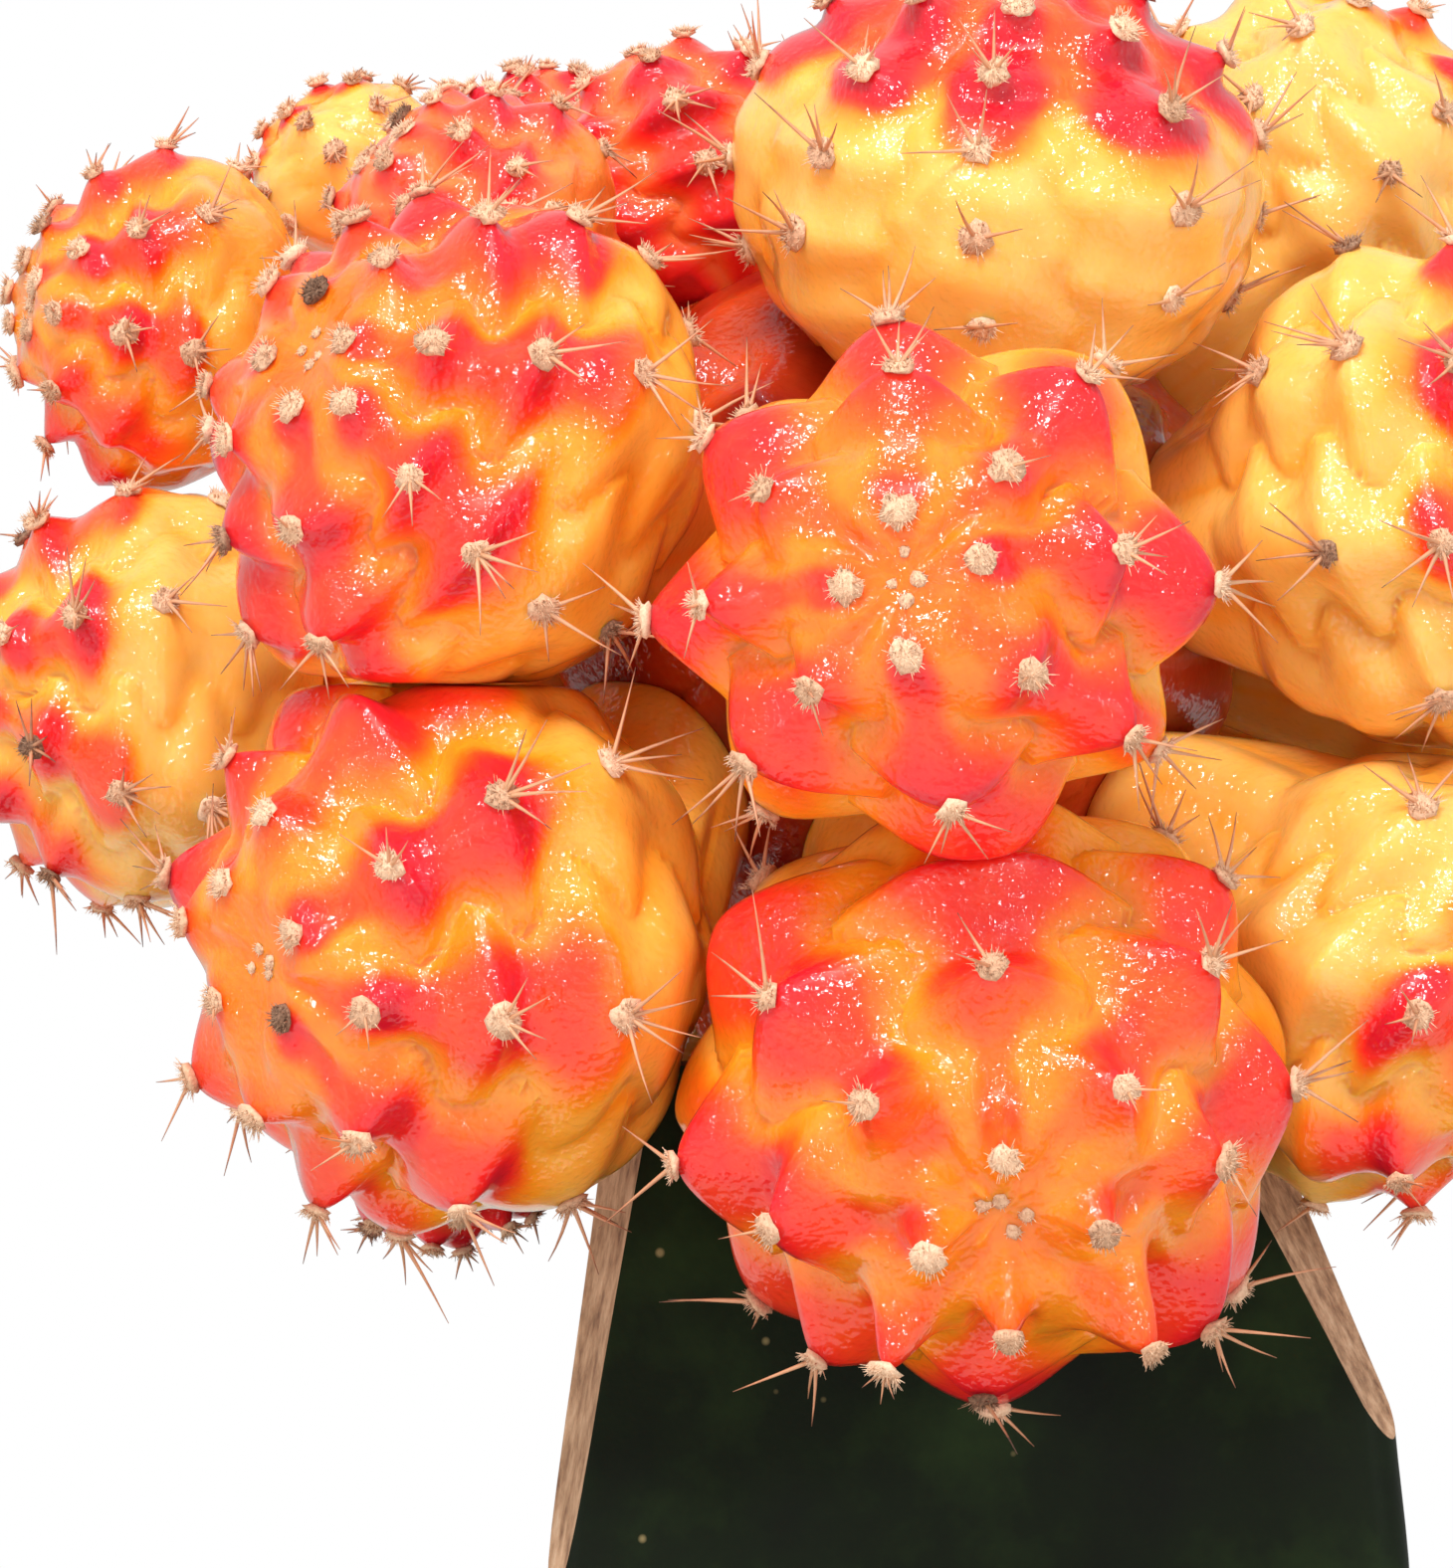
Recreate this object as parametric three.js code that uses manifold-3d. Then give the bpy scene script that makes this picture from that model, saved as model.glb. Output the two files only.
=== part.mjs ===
// Potted moon cactus: a cluster of yellow and red heads grafted on a three-sided green
// stem, in a plain clay pot. Millimetres, +Z up. The origin is the middle of the pot's foot.
import * as THREE from "three";
import { mergeVertices } from "three/addons/utils/BufferGeometryUtils.js";
import Module from "manifold-3d";

const wasm = await Module();
wasm.setup();

// ---------------------------------------------------------------- driving dimensions

const GAP = 0.3; // left between any two pieces that touch
const TURN = 2 * Math.PI;
const DEGREE = Math.PI / 180;

const POT = {
  height: 66,
  footRadius: 29,
  bandRadius: 38.5, // the wall just under the rim band
  bandHeight: 17,
  rimRadius: 42,
  wall: 4.2,
  floor: 5,
  edge: 1.2, // rounding of the lip and the foot
  bandTaper: 1.4, // how much narrower the rim band is at its foot
  cove: 3, // slope between the wall and the floor inside
  drainRadius: 3.5,
  drainCircle: 17,
  drains: 3,
  sides: 28,
};

const SOIL = {
  top: 57,
  mound: 1.6, // how much higher the soil lies round the stem
  moundFrom: 18, // radius where the mound begins to fall
  moundTo: 34,
  grain: 0.9, // how far the surface rolls up and down
  broadWave: 27, // length of its broad rolls
  fineWave: 10,
  edgeDrop: 1.5, // how far it sinks along the pot
  rings: 6,
};

const STEM = {
  foot: 26, // how deep in the pot it stands
  top: 113.5,
  ribReach: 23, // from the axis to the sharp corner that each rib would have
  ribRounding: 1.6,
  hollow: 3.4, // how far the middle of each side sinks in
  swell: 0.5, // how far the ribs swell out at each areole
  swellFrom: 15, // radius where that swelling begins
  areoleSpacing: 25,
  areoles: [64, 89], // heights of the areoles that show on each rib
  thornLength: 2.2,
  thornRoot: 0.3,
  thornSpread: 0.7, // how far the two thorns of an areole part, in radians
  thornRise: [0.2, 0.7], // how steeply they point up
  steps: 8,
};

// The grafted cut takes down each rib at the top, from height "from", at "slope" to upright.
const STEM_CUTS = [
  { rib: 210 * DEGREE, from: 92.5, slope: 10.2 * DEGREE },
  { rib: 330 * DEGREE, from: 96.5, slope: 28 * DEGREE },
  { rib: 90 * DEGREE, from: 97, slope: 26 * DEGREE },
];

// A head's form, as shares of its radius where no unit is given.
const HEAD = {
  ribs: 8,
  stagger: 0.18, // how unevenly the ribs start, as a share of the areole spacing
  flatness: 0.86, // height of the upper half
  firstAreole: 12 * DEGREE, // from the tip of the head, measured at its middle
  areoleSpacing: 34 * DEGREE, // along one rib
  valley: 0.25, // how deep the furrows between ribs are
  notch: 0.09, // how deep a rib dips between two areoles
  tipHollow: 0.1,
  wander: 0.09, // how far a furrow swings between the tubercles beside it, in rib widths
  fullFurrow: 45 * DEGREE, // how far from the tip the furrows reach their full depth
  furrowFades: [100 * DEGREE, 150 * DEGREE], // between these they lose half of it
  beltAngle: 141 * DEGREE, // where the ribs end above the neck
  belt: 0.96,
  areoles: 3, // on each rib, with a notch after each
  neck: 0.4,
  seat: 0.84, // how far from its parent's middle a head's neck starts
  sunk: 0.75, // and how close to its own middle the neck may end
};

const SPINE = {
  length: 0.36, // share of the head's radius
  root: 0.2, // radius where it leaves the areole, millimetres
  sunk: 0.8, // how deep its root sits, millimetres
  clear: 0.35, // kept free round every spine, millimetres
  aside: 0.15, // how far off the crest it stands, as a share of the way to the furrow
  youngLeans: [0.3], // to which side the spines of a young areole lean
  oldLeans: [-1, 1],
  lean: [0.75, 1.05], // how far they lean, against how far they stand out
  rise: [-0.5, 0.2], // how far they point up to the tip of the head
  uneven: [0.85, 1.15], // how their lengths differ
  young: 0.75, // length of the youngest, against the oldest
  seed: 7919,
};

const MOTHER = {
  name: "head_mother",
  at: [-4.4, 0, 134],
  radius: 19,
  ribs: 10,
  valley: 0.17,
  notch: 0.05,
  graftRadius: 12.6,
  colour: 0xc4381c,
};

// Each offset head: where its middle is, its radius, how far it is turned about its own axis
// and its colour; also what it grows on if not the mother, where its tip points if that isn't
// straight outwards, and how its areoles stand if not as on the others.
const OFFSETS = [
  {
    name: "head_front", at: [-2.5, -31, 134.1], radius: 11.8, turn: 7, colour: 0xff6a34,
    tip: [-0.16, -0.98, 0.03],
  },
  {
    name: "head_top", at: [0.8, -13, 152.3], radius: 11.8, turn: 20, colour: 0xffb54a,
    tip: [0.1, -0.25, 0.96], areoleSpacing: 22 * DEGREE, areoles: 5,
  },
  {
    name: "head_upper_left", at: [-23, -20, 140.3], radius: 11.8, turn: 10, colour: 0xff8a3c,
    tip: [-0.66, -0.6, 0.45],
  },
  {
    name: "head_lower_left", at: [-23.5, -19, 119.2], radius: 13, turn: 30, colour: 0xff7440,
    tip: [-0.74, -0.67, -0.08],
  },
  {
    name: "head_lower_front", at: [-0.1, -23, 112.7], radius: 14, turn: 5, colour: 0xff6a3a,
    tip: [0.04, -0.9, -0.42],
  },
  { name: "head_right", at: [20.2, -13, 138.4], radius: 11.8, turn: 12, colour: 0xff8440 },
  { name: "head_lower_right", at: [18.4, -13, 117.4], radius: 11, turn: 40, colour: 0xff7a44 },
  { name: "head_top_right", at: [16.8, 6, 154.1], radius: 9.8, turn: 0, colour: 0xffbc55 },
  { name: "head_top_middle", at: [-13, 3, 153.7], radius: 7.6, turn: 25, colour: 0xf2503c },
  { name: "head_top_left", at: [-22.6, -6, 151], radius: 7, turn: 15, colour: 0xf4603c },
  { name: "head_left_back", at: [-21, 12, 145], radius: 11, turn: 8, colour: 0xff9440 },
  {
    name: "head_left_back_top", at: [-19.6, 13, 155.2], radius: 5.6, turn: 30, colour: 0xee4a50,
    on: "head_left_back",
  },
  {
    name: "head_left_back_tip", at: [-29.3, 15, 155], radius: 5, turn: 12, colour: 0xffa548,
    on: "head_left_back",
  },
  {
    name: "head_far_upper_left", at: [-37.6, 6, 147.5], radius: 8, turn: 33, colour: 0xff7a3c,
    on: "head_left_back",
  },
  { name: "head_left_middle", at: [-23, 3.5, 128.5], radius: 9, turn: 5, colour: 0xff9a44 },
  {
    name: "head_far_left", at: [-38, 2, 130.1], radius: 10.3, turn: 22, colour: 0xff8440,
    on: "head_left_middle",
  },
  { name: "head_low_left_back", at: [-21, 13, 118.5], radius: 11, turn: 14, colour: 0xff7a40 },
  {
    name: "head_low_left", at: [-24.6, 2, 110.2], radius: 6, turn: 3, colour: 0xb63850,
    on: "head_low_left_back",
  },
  { name: "head_back", at: [-7, 28.5, 136.5], radius: 13, turn: 17, colour: 0xff7038 },
  { name: "head_back_right", at: [14.5, 20, 139.5], radius: 12, turn: 36, colour: 0xff8a3e },
  { name: "head_low_back_right", at: [16, 16.5, 119], radius: 11, turn: 9, colour: 0xff6a3c },
  { name: "head_top_back", at: [-1.5, 13, 154], radius: 10, turn: 28, colour: 0xffa44a },
  { name: "head_far_right", at: [23.5, 4, 131.5], radius: 9, turn: 19, colour: 0xff9040 },
  { name: "head_low_back", at: [-3, 26, 118.5], radius: 10, turn: 24, colour: 0xff7c42 },
];

// ---------------------------------------------------------------- solids

/** Turns a closed geometry into a solid that can be joined and cut. */
function solidOf(geometry) {
  const bare = geometry.index ? geometry.toNonIndexed() : geometry.clone();
  bare.deleteAttribute("normal");
  bare.deleteAttribute("uv");
  const merged = mergeVertices(bare, 1e-4);
  return new wasm.Manifold(
    new wasm.Mesh({
      numProp: 3,
      vertProperties: new Float32Array(merged.attributes.position.array),
      triVerts: new Uint32Array(merged.index.array),
    }),
  );
}

/** Turns a solid back into a geometry with flat faces. */
function geometryOf(solid) {
  const mesh = solid.getMesh();
  const geometry = new THREE.BufferGeometry();
  geometry.setAttribute("position", new THREE.BufferAttribute(new Float32Array(mesh.vertProperties), 3));
  geometry.setIndex(new THREE.BufferAttribute(new Uint32Array(mesh.triVerts), 1));
  geometry.computeVertexNormals();
  return geometry;
}

/** A mesh of its own, with its own finish. */
function piece(name, solid, colour, roughness) {
  const material = new THREE.MeshStandardMaterial({ color: colour, roughness, metalness: 0 });
  const mesh = new THREE.Mesh(geometryOf(solid), material);
  mesh.name = name;
  return mesh;
}

/** A repeatable draw of numbers between two others. */
function seededDraw(seed) {
  let state = seed + 1;
  return ([low, high]) => {
    state = (state * 48271) % 2147483647;
    return low + ((high - low) * state) / 2147483647;
  };
}

const smoothStep = (low, high, value) => THREE.MathUtils.smoothstep(value, low, high);

/** A thin three-sided cone from root towards tip, its foot sunk behind the root. */
function thorn(root, direction, length, radius, sunk) {
  const whole = length + sunk;
  const cone = new THREE.ConeGeometry(radius * (whole / length), whole, 3);
  cone.translate(0, whole / 2 - sunk, 0);
  const turn = new THREE.Quaternion().setFromUnitVectors(new THREE.Vector3(0, 1, 0), direction);
  cone.applyQuaternion(turn);
  cone.translate(root.x, root.y, root.z);
  return solidOf(cone);
}

// ---------------------------------------------------------------- pot and soil

/** Radius of the pot's outer wall at a height under its rim band. */
function potWall(height) {
  const share = height / (POT.height - POT.bandHeight);
  return POT.footRadius + (POT.bandRadius - POT.footRadius) * share;
}

const potInside = (height) => potWall(height) - POT.wall;

function makePot() {
  const bandFoot = POT.height - POT.bandHeight;
  const mouth = potInside(POT.height);
  const outline = [
    [0, 0],
    [POT.footRadius - POT.edge, 0],
    [potWall(POT.edge), POT.edge],
    [POT.bandRadius, bandFoot],
    [POT.rimRadius - POT.bandTaper, bandFoot],
    [POT.rimRadius - POT.bandTaper / 2, bandFoot + POT.edge],
    [POT.rimRadius, POT.height - POT.edge],
    [POT.rimRadius - POT.edge, POT.height],
    [mouth + POT.edge, POT.height],
    [mouth, POT.height - POT.edge],
    [potInside(POT.floor), POT.floor + POT.cove],
    [potInside(POT.floor) - POT.cove, POT.floor],
    [0, POT.floor],
  ].map(([radius, height]) => new THREE.Vector2(radius, height));
  let pot = solidOf(new THREE.LatheGeometry(outline, POT.sides).rotateX(Math.PI / 2));
  for (let hole = 0; hole < POT.drains; hole += 1) {
    const angle = (hole / POT.drains) * TURN + TURN / 4;
    const drain = new THREE.CylinderGeometry(POT.drainRadius, POT.drainRadius, 3 * POT.floor, 12);
    drain.rotateX(Math.PI / 2);
    drain.translate(POT.drainCircle * Math.cos(angle), POT.drainCircle * Math.sin(angle), POT.floor / 2);
    pot = pot.subtract(solidOf(drain));
  }
  return piece("pot", pot, 0xb5623f, 0.9);
}

/** Rolling height of the soil's surface, between -1 and 1. */
function soilRoll(x, y) {
  const broad = TURN / SOIL.broadWave;
  const fine = TURN / SOIL.fineWave;
  const broadRoll = Math.sin(x * broad + 1.3) * Math.cos(y * broad - 0.4);
  const fineRoll = Math.sin(x * fine - (y * fine) / 2) * Math.cos(y * fine + (x * fine) / 3);
  return (broadRoll + fineRoll) / 2;
}

function makeSoil() {
  const bottom = POT.floor + GAP;
  const low = potInside(POT.floor) - GAP;
  const side = potInside(SOIL.top) - GAP;
  const outline = [
    [0, bottom],
    [low - POT.cove - GAP, bottom],
    [low - GAP / 2, bottom + POT.cove + GAP],
    [side - GAP / 2, SOIL.top - SOIL.edgeDrop],
  ];
  for (let ring = 0; ring <= SOIL.rings; ring += 1) {
    outline.push([(side - POT.edge) * (1 - ring / SOIL.rings), SOIL.top]);
  }
  const points = outline.map(([radius, height]) => new THREE.Vector2(radius, height));
  const body = new THREE.LatheGeometry(points, POT.sides).rotateX(Math.PI / 2);
  const place = body.attributes.position;
  for (let i = 0; i < place.count; i += 1) {
    if (place.getZ(i) > SOIL.top - GAP) {
      const x = place.getX(i);
      const y = place.getY(i);
      const rise = SOIL.mound * (1 - smoothStep(SOIL.moundFrom, SOIL.moundTo, Math.hypot(x, y)));
      place.setZ(i, SOIL.top + rise + SOIL.grain * soilRoll(x, y));
    }
  }
  const hole = solidOf(stemBar(STEM.foot - GAP, STEM.top, GAP));
  return piece("potting_soil", solidOf(body).subtract(hole), 0x3b2a20, 1);
}

// ---------------------------------------------------------------- stem

function onCircle(angle, radius) {
  return new THREE.Vector2(Math.cos(angle), Math.sin(angle)).multiplyScalar(radius);
}

/** Outline of the three-sided stem, grown outwards by "spare". */
function stemOutline(spare) {
  const outline = new THREE.Shape();
  const corner = STEM.ribReach - 2 * STEM.ribRounding;
  const rounding = STEM.ribRounding + spare;
  const third = TURN / 3;
  for (let side = 0; side < 3; side += 1) {
    const rib = TURN / 4 + third * side;
    const centre = onCircle(rib, corner);
    outline.absarc(centre.x, centre.y, rounding, rib - third / 2, rib + third / 2, false);
    const inward = onCircle(rib + third / 2, corner / 2 + rounding - 2 * STEM.hollow);
    const end = onCircle(rib + third, corner).add(onCircle(rib + third / 2, rounding));
    outline.quadraticCurveTo(inward.x, inward.y, end.x, end.y);
  }
  return outline;
}

/** The plain bar that the stem is cut from, also used for its hole in the soil. */
function stemBar(foot, top, spare) {
  const bar = new THREE.ExtrudeGeometry(stemOutline(spare), {
    depth: top - foot,
    steps: spare > 0 ? 1 : STEM.steps,
    curveSegments: 3,
    bevelEnabled: false,
  });
  return bar.translate(0, 0, foot);
}

const ribTip = STEM.ribReach - STEM.ribRounding;

/** Cuts the stem's ribs down where it was trimmed for the graft. */
function trimForGraft(bar, spare) {
  let cutBar = bar;
  for (const cut of STEM_CUTS) {
    const outward = new THREE.Vector3(Math.cos(cut.rib), Math.sin(cut.rib), 0);
    const start = outward.clone().multiplyScalar(ribTip + spare);
    start.z = cut.from;
    const normal = outward.multiplyScalar(Math.cos(cut.slope)).setZ(Math.sin(cut.slope));
    cutBar = cutBar.trimByPlane([-normal.x, -normal.y, -normal.z], -normal.dot(start));
  }
  return cutBar;
}

/** The room that the stem takes from the heads that hang over its shoulders. */
function stemRoom() {
  return trimForGraft(solidOf(stemBar(SOIL.top, STEM.top + GAP / 2, GAP)), GAP);
}

/** The short thorns on the ribs, below the cuts. */
function stemThorns() {
  const between = seededDraw(7);
  const thorns = [];
  for (const cut of STEM_CUTS) {
    for (const height of STEM.areoles.filter((place) => place < cut.from)) {
      const root = new THREE.Vector3(ribTip * Math.cos(cut.rib), ribTip * Math.sin(cut.rib), height);
      for (const spread of [-STEM.thornSpread, STEM.thornSpread]) {
        const angle = cut.rib + spread;
        const direction = new THREE.Vector3(Math.cos(angle), Math.sin(angle), between(STEM.thornRise));
        thorns.push(thorn(root, direction.normalize(), STEM.thornLength, STEM.thornRoot, SPINE.sunk));
      }
    }
  }
  return thorns;
}

function makeStem() {
  const bar = stemBar(STEM.foot, STEM.top, 0);
  const place = bar.attributes.position;
  for (let i = 0; i < place.count; i += 1) {
    const z = place.getZ(i);
    const reach = Math.hypot(place.getX(i), place.getY(i));
    const wave = Math.cos(((z - STEM.areoles[0]) / STEM.areoleSpacing) * TURN);
    const share = smoothStep(STEM.swellFrom, ribTip, reach) * smoothStep(SOIL.top, STEM.areoles[0], z);
    const grown = 1 + (STEM.swell * wave * share) / reach;
    place.setX(i, place.getX(i) * grown);
    place.setY(i, place.getY(i) * grown);
  }
  const stem = trimForGraft(solidOf(bar), 0);
  return piece("rootstock", wasm.Manifold.union([stem, ...stemThorns()]), 0x24402b, 0.55);
}

// ---------------------------------------------------------------- heads

const vectorOf = (numbers) => new THREE.Vector3(...numbers);

/** Works out what every head needs: its axis, its own directions and its seat on its parent. */
function plantHeads() {
  const mother = { ...HEAD, ...MOTHER, centre: vectorOf(MOTHER.at), axis: new THREE.Vector3(0, 0, 1) };
  mother.growth = mother.axis;
  mother.seatMiddle = new THREE.Vector3(0, 0, STEM.top + GAP);
  mother.neckRadius = MOTHER.graftRadius;
  mother.turned = 0;
  const heads = [mother];
  for (const offset of OFFSETS) {
    const parent = heads.find((head) => head.name === (offset.on ?? MOTHER.name));
    const centre = vectorOf(offset.at);
    const growth = centre.clone().sub(parent.centre).normalize();
    const far = centre.distanceTo(parent.centre);
    const seatDistance = Math.min(HEAD.seat * parent.radius, far - HEAD.sunk * offset.radius);
    heads.push({
      ...HEAD,
      ...offset,
      parent,
      centre,
      growth,
      axis: offset.tip ? vectorOf(offset.tip).normalize() : growth,
      seatDistance,
      seatMiddle: parent.centre.clone().addScaledVector(growth, seatDistance + GAP),
      neckRadius: HEAD.neck * offset.radius,
      turned: offset.turn * DEGREE,
    });
  }
  for (const head of heads) {
    head.side = new THREE.Vector3(0, 0, 1).cross(head.axis);
    if (head.side.length() < 0.1) {
      head.side.set(1, 0, 0);
    }
    head.side.normalize();
    head.front = head.axis.clone().cross(head.side).normalize();
  }
  return heads;
}

/** The planes that a head stops at: its own seat, its children's, and where it presses on others. */
function pressPlanes(head, heads) {
  const planes = [];
  if (head.parent) {
    const seat = head.growth.dot(head.parent.centre) + head.seatDistance + GAP / 2;
    planes.push({ normal: head.growth.clone().negate(), at: -seat });
  }
  for (const other of heads) {
    if (other.parent === head) {
      planes.push({ normal: other.growth, at: other.growth.dot(head.centre) + other.seatDistance });
    } else if (other !== head && head.parent !== other) {
      const far = head.centre.distanceTo(other.centre);
      if (far < head.radius + other.radius + GAP) {
        const normal = other.centre.clone().sub(head.centre).normalize();
        const share = (far * far + head.radius ** 2 - other.radius ** 2) / (2 * far);
        planes.push({ normal, at: normal.dot(head.centre) + share - GAP / 2 });
      }
    }
  }
  return planes;
}

/** How late a rib's first areole comes: every second rib is half a spacing behind. */
function ribStart(rib, head) {
  const uneven = 0.5 + 0.5 * Math.sin(2.4 * rib + head.turned * 7);
  return (rib % 2) / 2 + head.stagger * uneven;
}

/** How far from the tip of the head a number of areole spacings reaches. */
const downAngle = (spacings, head) => head.firstAreole + head.areoleSpacing * spacings;

/** A point of the head, given its angle round the axis, from the tip, and its distance. */
function headPoint(head, round, down, reach) {
  const width = head.radius * reach * Math.sin(down);
  const height = head.radius * reach * head.flatness * Math.cos(down);
  return head.centre
    .clone()
    .addScaledVector(head.side, width * Math.cos(round + head.turned))
    .addScaledVector(head.front, width * Math.sin(round + head.turned))
    .addScaledVector(head.axis, height);
}

/** How far down a rib, or a furrow beside an even rib, each ring of the mesh lies. */
function ringAngle(head, column, ring) {
  const columns = 2 * head.ribs;
  const beside = column % 4 === 3 ? (column + 1) % columns : column;
  const rib = column % 2 === 0 ? column / 2 : Math.floor(beside / 2);
  return downAngle(ribStart(rib, head) + ring / 2, head);
}

/** Where the surface runs on a rib, or in a furrow, at one ring of the mesh. */
function ringPoint(head, column, ring) {
  const onRib = column % 2 === 0;
  const down = ringAngle(head, column, ring);
  const evenRibFirst = column % 4 === 1 ? 1 : -1;
  const sway = onRib ? 0 : head.wander * evenRibFirst * (ring % 2 === 0 ? 1 : -1);
  const round = ((column / 2 + sway) * TURN) / head.ribs;
  const faded = 1 - smoothStep(...head.furrowFades, down) / 2;
  const furrow = head.valley * smoothStep(0, head.fullFurrow, down) * faded;
  const reach = onRib ? 1 - (ring % 2 === 0 ? 0 : head.notch) : 1 - furrow;
  return headPoint(head, round, down, reach);
}

/** The surface points of a head: its tip, the rings down its ribs, its belt and its neck's end. */
function headPoints(head) {
  const columns = 2 * head.ribs;
  const tipHeight = head.radius * (head.flatness - head.tipHollow);
  const points = [head.centre.clone().addScaledVector(head.axis, tipHeight)];
  const rings = 2 * head.areoles;
  for (let ring = 0; ring < rings; ring += 1) {
    for (let column = 0; column < columns; column += 1) {
      points.push(ringPoint(head, column, ring));
    }
  }
  for (let column = 0; column < columns; column += 1) {
    const reach = column % 2 === 0 ? head.belt : 1 - head.valley / 2;
    points.push(headPoint(head, (column * TURN) / columns, head.beltAngle, reach));
  }
  const across = head.side.clone().addScaledVector(head.growth, -head.side.dot(head.growth)).normalize();
  const along = head.growth.clone().cross(across);
  for (let column = 0; column < columns; column += 1) {
    const round = (column * TURN) / columns + head.turned;
    const point = head.seatMiddle
      .clone()
      .addScaledVector(across, head.neckRadius * Math.cos(round))
      .addScaledVector(along, head.neckRadius * Math.sin(round));
    points.push(point);
  }
  points.push(head.seatMiddle.clone());
  return points;
}

/** The ribbed body of a head, closed from its tip down to the seat of its neck. */
function headBody(head) {
  const columns = 2 * head.ribs;
  const rings = 2 * head.areoles;
  const points = headPoints(head);
  const seat = 1 + (rings + 1) * columns;
  const faces = [];
  for (let column = 0; column < columns; column += 1) {
    const next = (column + 1) % columns;
    faces.push(0, 1 + column, 1 + next);
    for (let ring = 0; ring <= rings; ring += 1) {
      const upper = 1 + ring * columns;
      const lower = upper + columns;
      const falling = Math.abs(ringAngle(head, column, ring) - ringAngle(head, next, ring + 1));
      const rising = Math.abs(ringAngle(head, next, ring) - ringAngle(head, column, ring + 1));
      if (falling < rising) {
        faces.push(upper + column, lower + column, lower + next, upper + column, lower + next, upper + next);
      } else {
        faces.push(upper + column, lower + column, upper + next, upper + next, lower + column, lower + next);
      }
    }
    faces.push(seat + column, points.length - 1, seat + next);
  }
  const body = new THREE.BufferGeometry().setFromPoints(points);
  body.setIndex(faces);
  return solidOf(body);
}

/** Distance from a point to the line between two others. */
function distanceToLine(point, start, end) {
  const near = new THREE.Line3(start, end).closestPointToPoint(point, true, new THREE.Vector3());
  return near.distanceTo(point);
}

const NECK_ROOM = 1.5; // a neck widens upwards to this many times its radius
const TRIED = [0, 0.35, 0.7, 1]; // where along a spine its room is tested

/** True if a spine stays clear of every other head, its seat and the stem. */
function spineIsFree(spine, head, heads, planes) {
  for (const share of TRIED) {
    const point = spine.root.clone().addScaledVector(spine.direction, spine.length * share);
    const pressed = planes.some((plane) => plane.normal.dot(point) > plane.at - SPINE.clear);
    if (pressed) {
      return false;
    }
    for (const other of heads) {
      const inBody = other !== head && point.distanceTo(other.centre) < other.radius + SPINE.clear;
      const neck = distanceToLine(point, other.centre, other.seatMiddle);
      const inNeck = other !== head && neck < NECK_ROOM * other.neckRadius + SPINE.clear;
      if (inBody || inNeck) {
        return false;
      }
    }
    if (point.z < STEM.top + SPINE.clear && Math.hypot(point.x, point.y) < STEM.ribReach) {
      return false;
    }
  }
  return true;
}

/** The place of a spine on the slope that falls away on one side of an areole. */
function besideCrest(head, rib, ring, lean) {
  const columns = 2 * head.ribs;
  const column = 2 * rib;
  const furrow = (column + (lean > 0 ? 1 : columns - 1)) % columns;
  const higher = ringAngle(head, column, ring) - ringAngle(head, furrow, ring) > head.areoleSpacing / 4;
  const level = higher ? 1 : 0;
  return ringPoint(head, column, ring)
    .multiplyScalar(1 - 2 * SPINE.aside)
    .addScaledVector(ringPoint(head, furrow, ring + level), SPINE.aside)
    .addScaledVector(ringPoint(head, column, ring + 1), SPINE.aside);
}

/** The spines of a head: one on each young areole and two on each older one. */
function headSpines(head, heads, planes, seed) {
  const between = seededDraw(seed);
  const spines = [];
  for (let rib = 0; rib < head.ribs; rib += 1) {
    for (let areole = 0; areole < head.areoles; areole += 1) {
      const outward = ringPoint(head, 2 * rib, 2 * areole).sub(head.centre).normalize();
      const sideways = head.axis.clone().cross(outward).normalize();
      const upwards = outward.clone().cross(sideways);
      const grown = Math.min(1, SPINE.young + ((1 - SPINE.young) * areole) / 2);
      for (const lean of areole === 0 ? SPINE.youngLeans : SPINE.oldLeans) {
        const direction = outward.clone().addScaledVector(sideways, lean * between(SPINE.lean));
        direction.addScaledVector(upwards, between(SPINE.rise)).normalize();
        const length = head.radius * SPINE.length * grown * between(SPINE.uneven);
        const spine = { root: besideCrest(head, rib, 2 * areole, lean), direction, length, head };
        if (spineIsFree(spine, head, heads, planes)) {
          spines.push(spine);
        }
      }
    }
  }
  return spines;
}

/** The shortest distance between two spines, from points along one of them. */
function spinesApart(one, other) {
  let least = Infinity;
  const end = other.root.clone().addScaledVector(other.direction, other.length);
  const steps = 8;
  for (let step = 0; step <= steps; step += 1) {
    const point = one.root.clone().addScaledVector(one.direction, (one.length * step) / steps);
    least = Math.min(least, distanceToLine(point, other.root, end));
  }
  return least;
}

function makeHeads() {
  const heads = plantHeads();
  const standing = [];
  const meshes = [];
  const room = stemRoom();
  heads.forEach((head, index) => {
    const planes = pressPlanes(head, heads);
    let body = headBody(head);
    for (const plane of planes) {
      const { x, y, z } = plane.normal;
      body = body.trimByPlane([-x, -y, -z], -plane.at);
    }
    body = body.subtract(room);
    const spines = headSpines(head, heads, planes, SPINE.seed + index).filter((spine) =>
      standing.every((other) => other.head === head || spinesApart(spine, other) > 2 * SPINE.clear),
    );
    standing.push(...spines);
    const thorns = spines.map((spine) =>
      thorn(spine.root, spine.direction, spine.length, SPINE.root, SPINE.sunk),
    );
    meshes.push(piece(head.name, wasm.Manifold.union([body, ...thorns]), head.colour, 0.4));
  });
  return meshes;
}

// ---------------------------------------------------------------- the whole plant

const pottedMoonCactus = new THREE.Group();
pottedMoonCactus.add(makePot(), makeSoil(), makeStem(), ...makeHeads());

export default pottedMoonCactus;
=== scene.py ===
"""Potted moon cactus: red and yellow heads grafted on a three-sided green stem, in a clay pot.

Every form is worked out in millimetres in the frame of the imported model, and set in metres.
"""

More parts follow.
